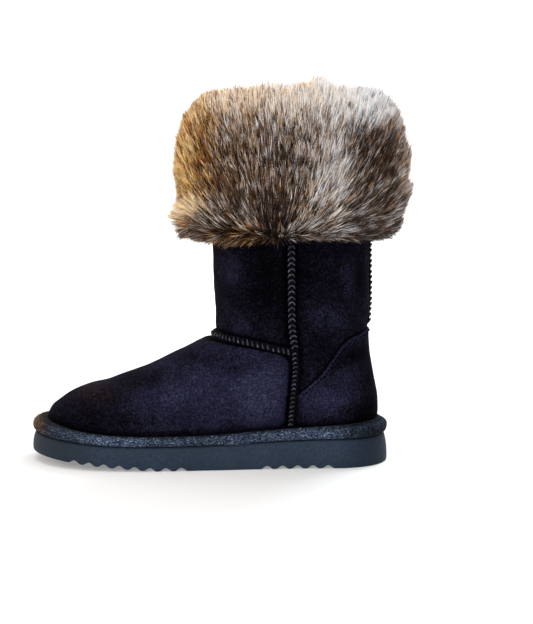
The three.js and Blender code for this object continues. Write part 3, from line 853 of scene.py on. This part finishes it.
def build_lining(material):
    rows = np.linspace(0, len(UPPER_SECTIONS) - 1, LINING_ROWS)
    points, normals = upper_surface(*ring_stations(steps=80), rows)
    depth = UPPER_WALL + LINING_GAP + lump(points, *LINING_LUMP)
    sleeve("upper_lining", points - normals * depth[..., None], material, "pile_lining", inward=True)


COUNTER_REACH = 0.62  # how far the counter's own surface goes round each side of the upper
COUNTER_STEPS = 170
COUNTER_ROWS = 110
COUNTER_TOP_ROW = 7.4
COUNTER_LUMP = (0.3, 30, 7)
COUNTER_DIP = (0.35, 2.6, 0.7)  # along the stitches: depth, distance from the edge, half width
COUNTER_BEAD = (0.3, 1.2, 0.7)  # along the edge
COUNTER_TUCK = (0.9, 0, 2.2)  # along the platform
COUNTER_MARGIN = 1.2  # faces this far past the edge are kept
COUNTER_SLOPE = (-0.5, 1.1)  # its face rises between these distances from the edge


def build_counter(material):
    round_side = np.linspace(0, COUNTER_REACH, COUNTER_STEPS)
    stations = np.concatenate([round_side[::-1], round_side[1:]])
    side = np.concatenate([np.full(COUNTER_STEPS, -1), np.full(COUNTER_STEPS - 1, 1)])
    points, inward = upper_surface(stations, side, np.linspace(0, COUNTER_TOP_ROW, COUNTER_ROWS))
    x, z = points[..., 0], points[..., 2]
    away, _ = line_distance(x, z, COUNTER_EDGE)
    below_edge = np.where(z < counter_z(x), away, -away)
    inside = np.minimum(below_edge, x - seam_x(z) - SEAM_CLEAR)
    rise = -COUNTER_SINK + (COUNTER_SINK + COUNTER_RISE) * smoothstep(*COUNTER_SLOPE, inside)
    rise = rise - groove(inside, *COUNTER_DIP) + groove(inside, *COUNTER_BEAD)
    creases = crease_depth(x, z, COUNTER_CREASES)
    rise = rise - groove(z - platform_top(x), *COUNTER_TUCK) - creases + lump(points, *COUNTER_LUMP)
    skin = points - inward * rise[..., None]
    quads = grid_quads(*points.shape[:2], closed=False)[:, ::-1]
    kept = (inside.ravel()[quads] > -COUNTER_MARGIN).any(axis=1)
    used, compact = np.unique(quads[kept], return_inverse=True)
    made = piece("heel_counter_suede", skin.reshape(-1, 3)[used], compact.reshape(-1, 4), [], material,
                 "suede", ["heel_counter"])
    # Painted highlight inside the counter's edge, and painted shade in its creases
    tone = suede_tone(points) + groove(below_edge, *COUNTER_RIM_HIGHLIGHT) - CREASE_SHADE * creases
    point_value(made, "tone", tone.reshape(-1)[used])


# Seams
PATH_STEP = 0.7
ANKLE_END = 1.5  # from the ankle seam's end to the side seam
ANKLE_SINK = (0.9, 0, 16)  # of the ankle seam at the instep's middle line: depth, distance, half width
ROLL_TAPER = 2  # length of a roll's thin end
ROLL_THIN = 0.02  # share of its section that is left at its tip, squared
ROLL_LIFT = 0.1
ROLL_ARC = (-0.25 * np.pi, 1.25 * np.pi)
ROLL_POINTS = 11
SIDE_ROLL = (2.4, 1.5)  # half width and height
ANKLE_ROLL = (2.6, 2.1)
BACK_ROLL = (2.3, 1.4)


def even_path(found):
    """A line of places and outward directions, at even steps along it."""
    found = np.array(found)
    lengths = np.concatenate([[0], np.cumsum(np.linalg.norm(np.diff(found[:, 0], axis=0), axis=1))])
    at = np.arange(0, lengths[-1], PATH_STEP)
    flat = found.reshape(len(found), 6)
    even = np.stack([np.interp(at, lengths, flat[:, k]) for k in range(6)], 1)
    return even[:, :3], unit(even[:, 3:])


def crossing_path(lines, normals, level, kept):
    """A seam's path, from the places on lines of points where the level first falls below zero."""
    found = []
    for line, out in zip(lines, normals):
        here = level(line[:, 0], line[:, 2])
        i = np.argmax(here < 0)
        if i > 0:
            t = here[i - 1] / (here[i - 1] - here[i])
            place = np.stack([each[i - 1] + t * (each[i] - each[i - 1]) for each in (line, out)])
            if kept(place[0, 0], place[0, 2]):
                found.append(place)
    return even_path(found)


def side_path(points, normals, sign):
    count = points.shape[1]
    columns = np.arange(count // 2 + 1)
    if sign > 0:
        columns = (count - columns) % count
    return crossing_path(
        points[:, columns], normals[:, columns],
        lambda x, z: x - seam_x(z),
        lambda x, z: SIDE_SEAM_FOOT_Z < z < SEAM_TOP_Z,
    )


def ankle_path(points, normals):
    path, out = crossing_path(
        points.swapaxes(0, 1), normals.swapaxes(0, 1),
        lambda x, z: ankle_z(x) - z,
        lambda x, z: x < seam_x(z) - ANKLE_END,
    )
    sunk = groove(path[:, 1] - swing(path[:, 0]), *ANKLE_SINK)
    return path - out * sunk[:, None], out


def counter_path(points, normals):
    count = points.shape[1]
    order = np.concatenate([np.arange(count // 2, 0, -1), [0], np.arange(count - 1, count // 2, -1)])
    return crossing_path(
        points[:, order].swapaxes(0, 1), normals[:, order].swapaxes(0, 1),
        lambda x, z: counter_z(x) - z,
        lambda x, z: x > seam_x(z) + SEAM_CLEAR,
    )


def back_path(points, normals):
    rows = (points[:, 0, 2] > BACK_SEAM_FOOT_Z) & (points[:, 0, 2] < SEAM_TOP_Z)
    return even_path(np.stack([points[rows, 0], normals[rows, 0]], 1))


def across_path(path, normals):
    return unit(np.cross(unit(np.gradient(path, axis=0)), normals))


def roll_mesh(path, normals, half_width, height):
    """A round-backed roll that lies along a seam."""
    turn = np.linspace(*ROLL_ARC, ROLL_POINTS)
    from_end = np.minimum(np.arange(len(path)), np.arange(len(path))[::-1]) * PATH_STEP
    swell = np.sqrt(np.clip(from_end / ROLL_TAPER, ROLL_THIN, 1))[:, None, None]
    place_across = np.cos(turn)[None, :, None] * half_width * swell
    place_up = np.sin(turn)[None, :, None] * height * swell + ROLL_LIFT
    points = path[:, None] + across_path(path, normals)[:, None] * place_across + normals[:, None] * place_up
    return points.reshape(-1, 3), grid_quads(len(path), len(turn), closed=False)


# One stitch: places across the seam, along it and above the suede, and the thread's share of its full radius
WHIP_STITCH = np.array([
    (-2.4, -2, 0.3, 0.6), (-2, -0.8, 1.2, 0.85), (-1, 0.5, 1.9, 1), (0.3, 1, 2.1, 1),
    (1.5, 0.5, 1.6, 0.9), (2.2, -0.6, 0.9, 0.75), (2.4, -1.4, 0.3, 0.5),
])
LOW_STITCH = np.array([
    (-1.5, -1.4, 0.8, 0.6), (-1.1, -0.4, 1.7, 0.9), (-0.3, 0.4, 2, 1), (0.5, 0.5, 2, 1),
    (1.3, -0.3, 1.6, 0.7),
])
BEAD_STITCH = np.array([
    (-2, -0.4, 0.9, 0.7), (-1.5, -0.2, 1.7, 1.2), (-0.7, 0.1, 2.1, 1.2), (0, 0.4, 2.2, 0.7),
    (0.8, 0.8, 2.1, 0.5), (1.8, 1.2, 1.5, 0.4),
])
FLAT_STITCH = np.array([(0, -0.7, -0.1, 0.6), (0, -0.25, 0.3, 1), (0, 0.25, 0.3, 1), (0, 0.7, -0.1, 0.6)])
LOW_STITCH_TOP = 92  # height at which the side seams' stitches become wider
LOW_STITCH_SHIFT = 0.8  # of the narrower ones towards the toe
STITCH_LAP = 4.4  # height in which the two kinds lap
STITCH_START = 0.8  # share of the pitch before the first stitch
STITCH_UNEVEN = (0.12, 0.1)  # along the seam and across it
THREAD_SIDES = 6
TILT = 0.01  # keeps two directions from being the same
SIDE_THREAD_TONE = 0.95
SIDE_THREAD_REACH = 4
ANKLE_THREAD_TONES = (0.5, 0.85)  # painted shade on the thread: its tone at the front of the ankle and further back
ANKLE_THREAD_X = (0, 30)  # the tone grows between these


def stitches(path, normals, shape, pitch, radius, shift=0.0, lift=0.0):
    """Thread stitches set along a seam, as short tapered tubes."""
    step = np.linalg.norm(path[1] - path[0])
    count = int(len(path) * step / pitch) - 1
    at = (np.arange(count) + STITCH_START) * pitch + rng.normal(0, STITCH_UNEVEN[0], count)
    jitter = rng.normal(0, STITCH_UNEVEN[1], (count, 1))
    index = (at[:, None] + shape[None, :, 1]) / step
    steps = np.arange(len(path))

    def on_path(values):
        return np.stack([np.interp(index, steps, values[:, k]) for k in range(3)], -1)

    out, aside = unit(on_path(normals)), unit(on_path(across_path(path, normals)))
    centre = on_path(path) + aside * (shape[None, :, 0] + shift + jitter)[..., None]
    centre = centre + out * (shape[None, :, 2] + lift + jitter)[..., None]
    forward = unit(np.gradient(centre, axis=1))
    first = unit(np.cross(forward, out + TILT))
    second = np.cross(forward, first)
    turn = full_turn(THREAD_SIDES)[:, None]
    thick = (shape[None, :, 3] * radius)[..., None, None]
    round_about = first[..., None, :] * np.cos(turn) + second[..., None, :] * np.sin(turn)
    points = (centre[..., None, :] + round_about * thick).reshape(-1, 3)
    tube = grid_quads(len(shape), THREAD_SIDES, closed=True)
    each = len(shape) * THREAD_SIDES
    return points, (np.arange(count)[:, None, None] * each + tube[None]).reshape(-1, 4)


def joined(parts):
    """Several meshes as one set of points and faces."""
    points, quads, first = [], [], 0
    for some_points, some_quads in parts:
        points.append(some_points)
        quads.append(some_quads + first)
        first += len(some_points)
    return np.concatenate(points), np.concatenate(quads)


def split_path(path, normals, height):
    """The parts of a seam below and above a height. They lap, so that no gap is left in the stitches."""
    low = path[:, 2] < height + STITCH_LAP
    high = path[:, 2] >= height
    return (path[low], normals[low]), (path[high], normals[high])


def thread_tone(points):
    """Painted shade: the thread is darker at the front of the ankle."""
    x, z = points[..., 0], points[..., 2]
    dark, light = ANKLE_THREAD_TONES
    on_side = np.abs(x - seam_x(z)) < SIDE_THREAD_REACH
    ankle = dark + (light - dark) * smoothstep(*ANKLE_THREAD_X, x)
    return np.where(on_side, SIDE_THREAD_TONE, ankle)


def build_seams(points, normals, thread, dark_thread, roll):
    outer, inner = side_path(points, normals, -1), side_path(points, normals, 1)
    ankle, back = ankle_path(points, normals), back_path(points, normals)
    for name, node, path, size in (
        ("side_seam_roll_outer", "side_seam_outer", outer, SIDE_ROLL),
        ("side_seam_roll_inner", "side_seam_inner", inner, SIDE_ROLL),
        ("ankle_seam_roll", "ankle_seam", ankle, ANKLE_ROLL),
        ("back_seam_roll", "back_seam", back, BACK_ROLL),
    ):
        piece(name, *roll_mesh(*path, *size), [], roll, "suede", [node])
    rows = [
        stitches(*back, WHIP_STITCH, pitch=4.2, radius=0.8),
        stitches(*ankle, BEAD_STITCH, pitch=3.9, radius=0.66),
    ]
    for path, shift in ((outer, -LOW_STITCH_SHIFT), (inner, LOW_STITCH_SHIFT)):
        low, high = split_path(*path, LOW_STITCH_TOP)
        rows.append(stitches(*low, LOW_STITCH, pitch=3.6, radius=0.6, shift=shift))
        rows.append(stitches(*high, WHIP_STITCH, pitch=4.2, radius=0.62))
    whip = joined(rows)
    made = piece("seam_stitches", *whip, [], thread, "seam_thread")
    point_value(made, "tone", thread_tone(whip[0]))
    counter = counter_path(points, normals)
    row = stitches(*counter, FLAT_STITCH, pitch=2.9, radius=0.62, shift=2.5, lift=COUNTER_RISE - 0.2)
    piece("counter_stitches", *row, [], dark_thread, "seam_thread")


# Fur cuff
shaft_back, shaft_front, shaft_half = (
    smooth_column(SHAFT[:, level], SHAFT[:, size]) for level, size in ((1, 0), (3, 2), (1, 7))
)
BINDING_STEPS = 240
BINDING_SIDES = 10
BINDING_WAVES = ((0.5, 9, 0), (0.3, 23, 1))  # height, number round the shaft, phase
BINDING_RADIUS = 2.4
BINDING_Z = 174.6

# The skin that the hairs grow from, from the hem over the fold into the shaft: reach from the shaft's
# outer face, height, length of the hairs there, and how far they stand off the skin, in degrees
HIDE = np.array([
    (1, 182, 6, 40), (6, 178.5, 7, 36), (12, 179, 8, 36), (18.5, 185, 9, 38), (24, 205, 9, 40),
    (24, 230, 9, 40), (21, 251.5, 9, 40), (14.5, 268, 9, 42), (5.5, 278, 9.5, 48), (-0.5, 280, 9, 55),
    (-4, 275, 9, 60), (-5, 262, 7, 62), (-5, 240, 6, 62),
])
HIDE_END = len(HIDE) - 1
NEAR_ALONG = 0.05  # small steps, to find directions on the skin
NEAR_TURN = 0.01
UNDERCOAT_LUMP = (1.2, 14, 9)
UNDERCOAT_STEPS = 160
UNDERCOAT_ROWS = 60
HIDE_INSIDE = (8, 10.5)  # the skin turns into the shaft between these of its points
hide_reach, hide_height, hair_length, hair_stand = (
    smooth_column(np.arange(len(HIDE)), HIDE[:, k]) for k in range(4)
)

# Tufts that lie their own way: X, Z, half sizes, direction in X and Z
TUFTS = [
    (-18, 193, 14, 7, (-1, 0)),
    (-12, 183, 16, 5, (-0.8, -0.6)),
    (22, 178.5, 24, 4, (-0.4, -0.5)),
    (118, 188, 40, 13, (1, 0.45)),
]
# Where the hairs are longer or shorter: X, Z, half sizes, added share of the length
LENGTH_ZONES = [
    (-16, 189, 12, 8, 0.5), (-18, 205, 14, 8, -0.5), (148, 190, 26, 8, -0.35), (158, 231, 14, 7, 0.5),
    (158, 214, 14, 5, -0.2), (156, 203, 14, 6, 0.45), (146, 262, 12, 8, 0.2), (84, 288, 8, 16, 1),
    (66, 284, 30, 14, 0.15), (22, 280, 16, 12, -0.15), (0, 272, 24, 14, -0.25), (78, 180, 8, 5, 0.4),
    (20, 180, 26, 4, 0.3),
]
# The fur fans out from a place under the hem
FLOW_X = 52
FLOW_Z = 159
FLOW_SPREAD = 75
FLOW_RISE = 24
INSIDE_RISE = 0.6  # upward lean of the hairs inside the shaft
FAN_LEAST = 0.6  # a weaker fan than this is not made stronger
FAN_FLAT = 0.6  # share of the fan's slope off the skin that is taken away
BEND_ALONG = 0.35  # of a hair towards its fan
BEND_DOWN = 0.3  # of a hair towards the skin

# Colour patches of the fur, partly its own colours and partly painted light and shade (lighter at the top,
# darker by the hem): X, Z, half sizes, lightness, colour row (may lie between two), and weight
FUR_PATCHES = [
    (-22, 236, 15, 34, 0.77, 3, 2), (2, 250, 8, 9, 0.34, 2.8, 1.2), (1, 222, 9, 18, 0.38, 2.7, 1.3),
    (-3, 263, 14, 12, 0.74, 2.5, 1), (-16, 196, 12, 6, 1.3, 2, 3.2), (-14, 182, 16, 5, 0.36, 1.4, 1.6),
    (27, 271, 24, 12, 0.99, 1.6, 1.4), (20, 248, 18, 12, 0.54, 1.4, 1), (26, 218, 20, 24, 0.36, 1.6, 1),
    (22, 189, 16, 8, 0.5, 0.9, 1), (31, 180, 20, 4, 0.3, 2.3, 1), (50, 193, 8, 11, 0.1, 1.2, 1.9),
    (55, 220, 9, 12, 0.34, 1.1, 1), (63, 244, 18, 20, 0.54, 1.1, 1), (60, 208, 14, 16, 0.46, 1.2, 1),
    (60, 179, 5, 3, 0.5, 0.7, 1), (72, 196, 7, 8, 0.66, 1.7, 0.8), (76, 273, 26, 14, 1.3, 1.1, 1.6),
    (90, 230, 9, 38, 0.92, 0.7, 1.3), (86, 197, 9, 9, 0.78, 0.9, 1), (83, 181, 24, 6, 0.46, 1.1, 1),
    (107, 187, 8, 10, 0.26, 1, 1.4), (117, 269, 19, 13, 1.4, 0, 1.3), (131, 232, 15, 18, 0.2, 1.5, 1.2),
    (130, 194, 24, 14, 0.32, 1.1, 1), (147, 240, 8, 36, 0.74, 1.3, 1.5), (94, 278, 20, 9, 2, 0.4, 1.5),
    (104, 246, 8, 16, 0.4, 1, 0.9),
]
PLAIN_FUR = (0.45, 1.2, 0.06)  # lightness, row and weight away from the patches
CONTRAST = (0.75, 0.7)  # of the hairs in dark fur, and its gain in light fur
COOLER = (-0.5, 0.8)  # least and most rows by which a hair is cooler than its patch
COOLER_END = 2.4  # fur of this row or a warmer one is not made cooler
LIGHTNESS = (0.02, 0.97)  # least and most


def shaft_place(turn, reach, z):
    """A point round the shaft. The turn starts at the back and goes by way of the outer side."""
    level = np.minimum(z, FOLD_Z)
    back, front = shaft_back(level), shaft_front(level)
    x = (back + front) / 2 + ((back - front) / 2 + reach) * np.cos(turn)
    y = swing(x) - (shaft_half(level) + reach) * np.sin(turn)
    return np.stack([x, y, np.broadcast_to(z, x.shape)], -1)


def build_cuff_binding(material):
    turn = full_turn(BINDING_STEPS)
    wave = sum(height * np.sin(number * turn + phase) for height, number, phase in BINDING_WAVES)
    rings = []
    for angle in full_turn(BINDING_SIDES):
        reach = GAP + BINDING_RADIUS * (1 + np.cos(angle))
        rings.append(shaft_place(turn, reach, BINDING_Z + wave + BINDING_RADIUS * np.sin(angle)))
    rings.append(rings[0])
    sleeve("cuff_edge_roll", np.array(rings), material, "wrap_binding", ["cuff_binding"])


def hide_points(turn, along):
    """Places, outward directions and upward directions on the skin under the fur."""
    def place(t, a):
        return shaft_place(t, hide_reach(a), hide_height(a))

    up = unit(place(turn, along + NEAR_ALONG) - place(turn, along - NEAR_ALONG))
    aside = unit(place(turn + NEAR_TURN, along) - place(turn - NEAR_TURN, along))
    return place(turn, along), unit(np.cross(up, aside)), up


def build_undercoat(material):
    turn, along = np.meshgrid(full_turn(UNDERCOAT_STEPS), np.linspace(0, HIDE_END, UNDERCOAT_ROWS))
    points, out, _ = hide_points(turn, along)
    points = points + out * lump(points, *UNDERCOAT_LUMP)[..., None]
    sleeve("fur_undercoat", points, material, "fur", ["fur_cuff"])


def fur_patch(x, z):
    """Lightness of the fur at a place, and its colour row there."""
    plain_light, plain_row, plain_weight = PLAIN_FUR
    total = np.full(np.shape(x), plain_weight)
    light, row = total * plain_light, total * plain_row
    for near, (patch_light, patch_row, weight) in patches(x, z, FUR_PATCHES):
        total = total + weight * near
        light = light + weight * near * patch_light
        row = row + weight * near * patch_row
    return light / total, row / total


HAIR_SHARES = np.array([0, 0.38, 0.74, 1])  # of the length, at a hair's four places
HAIR_TAPER = np.array([1, 0.95, 0.62])  # share of the width at the first three
HAIR_WIDTHS = (0.26, 0.56)  # least and most at the root
HAIR_TWIST = 0.9
HAIR_PULL = (0.15, 0.8)  # least and most that a hair leans to its lock
HAIR_STRAY = 1.0
HAIRS_PER_PIECE = 34000
HAIR_PIECES = 4
HAIR_UNEVEN = 0.16  # spread of the lengths
HAIR_LENGTHS = (0.5, 1.5)  # least and most share
HAIR_LIGHT = 0.18  # spread of the lightness
LOCKS = 42000
LOCK_UNEVEN = 0.14
LOCK_LENGTHS = (0.6, 1.4)
LOCK_LIGHT = 0.25
LOCK_ROW = 0.45  # spread of the colour row
LOCK_STRAY = 2.4
LOCK_WAVES = ((1.8, 11, 21), (1.8, 11, 22), (1.8, 11, 23))  # lumps of the lean in X, Y and Z
LOCK_LENGTH_LUMP = (0.22, 15, 24)
LOCK_LIGHT_LUMP = (0.1, 8, 25)
STRETCH_STEP = 0.1  # along the skin, to measure how far apart its points lie
STRETCH_QUANTILE = 0.98
STRETCH_LEAST = 0.2
STRAY_SHARE = 0.08  # of the hairs are longer
STRAY_LENGTH = 0.45


def along_hair(values):
    """Values that grow from a hair's root to its tip."""
    return values * HAIR_SHARES[None, :, None]


def hair_curves(turn, along, length_share):
    """Centre lines of hairs that fan out from the middle of the hem, their outward directions and roots."""
    root, out, up = hide_points(turn, along)
    length = hair_length(along) * length_share
    stand = np.radians(hair_stand(along))
    x, z = root[:, 0], root[:, 2]
    lie = np.stack([(x - FLOW_X) / FLOW_SPREAD, (z - FLOW_Z) / FLOW_RISE], 1)
    for near, (direction,) in patches(x, z, TUFTS):
        lie = lie + (np.array(direction) - lie) * near[:, None]
    for near, (more,) in patches(x, z, LENGTH_ZONES):
        length = length * (1 + more * near)
    fan = np.stack([lie[:, 0], np.zeros(len(root)), lie[:, 1]], 1)
    # Inside the shaft the hairs point upwards
    inside = smoothstep(*HIDE_INSIDE, along)[:, None]
    fan = fan + (up * [1, 1, -1] + [0, 0, INSIDE_RISE] - fan) * inside
    fan = fan / np.maximum(np.linalg.norm(fan, axis=1, keepdims=True), FAN_LEAST)
    fan = fan - out * np.sum(fan * out, axis=1, keepdims=True) * FAN_FLAT
    lifted = np.sin(stand)[:, None]
    start = unit(fan * np.cos(stand)[:, None] + out * lifted)[:, None]
    bend = (fan * BEND_ALONG - out * BEND_DOWN * lifted)[:, None]
    return root[:, None] + length[:, None, None] * along_hair(start + along_hair(bend)), out, root


def random_places(count, tries):
    """Turns and places along the skin, spread evenly over it."""
    turn = rng.uniform(0, 2 * np.pi, tries)
    along = rng.uniform(0, HIDE_END, tries)
    here, _, _ = hide_points(turn, along)
    ahead, _, _ = hide_points(turn, np.minimum(along + STRETCH_STEP, HIDE_END))
    stretch = np.linalg.norm(ahead - here, axis=1)
    most = np.quantile(stretch, STRETCH_QUANTILE)
    kept = rng.uniform(0, most, tries) < np.maximum(stretch, STRETCH_LEAST)
    return turn[kept][:count], along[kept][:count]


def grow_locks():
    """Locks that the hairs lean to: lines, changes of lightness and colour row, and a finder of locks."""
    turn, along = random_places(LOCKS, 2 * LOCKS)
    length = rng.normal(1, LOCK_UNEVEN, len(turn)).clip(*LOCK_LENGTHS)
    places, _, _ = hide_points(turn, along)
    lines, _, _ = hair_curves(turn, along, length * (1 + lump(places, *LOCK_LENGTH_LUMP)))
    waves = np.stack([lump(places, *layer) for layer in LOCK_WAVES], 1)
    lean = rng.normal(0, LOCK_STRAY, places.shape) + waves
    light = rng.normal(0, LOCK_LIGHT, len(turn)) + lump(places, *LOCK_LIGHT_LUMP)
    change = np.stack([light, rng.normal(0, LOCK_ROW, len(turn))], 1)
    finder = kdtree.KDTree(len(places))
    for i, place in enumerate(places):
        finder.insert(place, i)
    finder.balance()
    return lines + along_hair(lean[:, None]), change, finder


def build_hairs(material):
    lock_lines, lock_change, finder = grow_locks()
    for number in range(HAIR_PIECES):
        turn, along = random_places(HAIRS_PER_PIECE, 4 * HAIRS_PER_PIECE)
        count = len(turn)
        length = rng.normal(1, HAIR_UNEVEN, count).clip(*HAIR_LENGTHS)
        length = length + np.where(rng.uniform(0, 1, count) < STRAY_SHARE, STRAY_LENGTH, 0)
        lines, out, roots = hair_curves(turn, along, length)
        lock = np.array([finder.find(place)[1] for place in roots])
        lines = lines + (lock_lines[lock] - lines) * along_hair(rng.uniform(*HAIR_PULL, (count, 1, 1)))
        lines = lines + along_hair(rng.normal(0, HAIR_STRAY, (count, 1, 3)))
        hair_piece(f"fur_hairs_{number + 1}", lines, out, roots, lock_change[lock], material)


def hair_piece(name, lines, out, roots, lock_change, material):
    """Hairs as tapered ribbons: two places across each at three shares of its length, and a tip."""
    count = len(lines)
    forward = unit(lines[:, 2] - lines[:, 0])
    flat = unit(np.cross(forward, out))
    turn = rng.uniform(-HAIR_TWIST, HAIR_TWIST, (count, 1))
    across = flat * np.cos(turn) + np.cross(forward, flat) * np.sin(turn)
    half = rng.uniform(*HAIR_WIDTHS, (count, 1, 1)) * HAIR_TAPER[None, :, None] / 2
    left = lines[:, :3] - across[:, None] * half
    right = lines[:, :3] + across[:, None] * half
    points = np.concatenate([np.stack([left, right], 2).reshape(count, 6, 3), lines[:, 3:]], 1)
    first = np.arange(count)[:, None] * 7
    quads = np.concatenate([first + [0, 1, 3, 2], first + [2, 3, 5, 4]])
    made = piece(name, points.reshape(-1, 3), quads, first + [4, 5, 6], material, "fur")
    pick = np.repeat(hair_colour(roots, lock_change), 7)
    along = np.tile(np.append(np.repeat(HAIR_SHARES[:3], 2), HAIR_SHARES[3]), count)
    corners = np.zeros(len(made.data.loops), np.int32)
    made.data.loops.foreach_get("vertex_index", corners)
    place = np.stack([pick, along], -1)[corners].astype(np.float32).ravel()
    for map_name in ("HairMap", "OFBake"):
        made.data.uv_layers.new(name=map_name).data.foreach_set("uv", place)


def hair_colour(roots, lock_change):
    """Place of each hair's colour in the rows of fur colours, set end to end. Lighter hairs are cooler."""
    light, row = fur_patch(roots[:, 0], roots[:, 2])
    change = lock_change[:, 0] + rng.normal(0, HAIR_LIGHT, len(roots))
    change = change * (CONTRAST[0] + CONTRAST[1] * light)
    cooler = np.clip(change, *COOLER) * np.clip(COOLER_END - row, 0, 1)
    row = np.clip(np.round(row - cooler + lock_change[:, 1]), 0, len(FUR_ROWS) - 1)
    return (row + np.clip(light + change, *LIGHTNESS)) / len(FUR_ROWS)


def build_boot():
    suede, pile, roll = suede_look(), pile_look(), dark_roll_look()
    build_outsole(foam_look())
    build_wrap(binding_look())
    build_insole(pile)
    points, normals = build_upper(suede)
    build_lining(pile)
    build_counter(suede)
    build_seams(points, normals, thread_look(), dark_thread_look(), roll)
    build_cuff_binding(roll)
    build_undercoat(undercoat_look())
    build_hairs(fur_look())


# Stage, in metres
FLOOR_HALF = 6
FLOOR_FRONT = (-8, -1.2)  # Y of the floor's first rows
FLOOR_FROM = -0.6  # even rows from here to the wall
FLOOR_ROWS = 31
WALL_Y = 2.4
WALL_TOP = 5
FLOOR_GREY = 0.56
FLOOR_GLOW = (0.25, 1.06)  # under the boot and far behind it
GLOW_Y = (0.25, 1.6)  # the glow grows between these
LIGHT_TARGET = (0.02, 0, 0.15)
# Name, place, diameter, power and colour
LIGHTS = [
    ("overhead", (0, -0.3, 2), 2.2, 34, (1, 1, 1)),
    ("warm_left", (-0.9, 0, 0.3), 0.4, 2, (1, 0.72, 0.42)),
    ("cool_right", (0.45, 0.5, 1.1), 0.5, 13, (0.8, 0.89, 1)),
    ("front", (-0.4, -1.6, 0.9), 1.2, 16, (1, 0.98, 0.96)),
]
WORLD_STRENGTH = 0.3
CAMERA_PLACE = (0.0455, -0.9, 0.21)
CAMERA_DOWN = 5.92  # degrees below level
LENS = 66.3


def stage_look():
    look = Look("floor", 0.9, specular=0.0)
    look.colour((*grey(FLOOR_GREY), 1))
    look.surface.inputs["Emission Color"].default_value = (1, 1, 1, 1)
    look.join(look.attribute("glow"), look.surface.inputs["Emission Strength"])
    return look.material


def build_stage():
    """A pale floor that meets a bright wall far behind the boot."""
    depth = np.concatenate([FLOOR_FRONT, np.linspace(FLOOR_FROM, WALL_Y, FLOOR_ROWS), [WALL_Y]])
    height = np.append(np.zeros(len(depth) - 1), WALL_TOP)
    points = [(x, y, z) for y, z in zip(depth, height) for x in (-FLOOR_HALF, FLOOR_HALF)]
    faces = [(2 * i, 2 * i + 1, 2 * i + 3, 2 * i + 2) for i in range(len(depth) - 1)]
    mesh = bpy.data.meshes.new("floor")
    mesh.from_pydata(points, [], faces)
    mesh.materials.append(stage_look())
    floor = new_object("floor", mesh)
    near, far = FLOOR_GLOW
    point_value(floor, "glow", np.repeat(near + (far - near) * smoothstep(*GLOW_Y, depth), 2))


def area_light(name, place, size, power, colour):
    light = bpy.data.lights.new(name, "AREA")
    light.shape = "DISK"
    light.size = size
    light.energy = power
    light.color = colour
    made = new_object(name, light)
    made.location = place
    aim = np.array(LIGHT_TARGET) - np.array(place)
    flat = math.hypot(aim[0], aim[1])
    made.rotation_euler = (math.atan2(flat, -aim[2]), 0, math.atan2(-aim[0], aim[1]))


def build_world():
    world = bpy.data.worlds.new("studio")
    world.use_nodes = True
    background = world.node_tree.nodes["Background"]
    background.inputs["Color"].default_value = (1, 1, 1, 1)
    background.inputs["Strength"].default_value = WORLD_STRENGTH
    bpy.context.scene.world = world


def build_camera():
    data = bpy.data.cameras.new("camera")
    data.sensor_width = 36
    data.lens = LENS
    made = new_object("camera", data)
    made.location = CAMERA_PLACE
    made.rotation_euler = (math.radians(90 - CAMERA_DOWN), 0, 0)
    bpy.context.scene.camera = made


build_boot()
build_stage()
for light_values in LIGHTS:
    area_light(*light_values)
build_world()
build_camera()
bpy.context.scene.view_settings.view_transform = "Standard"
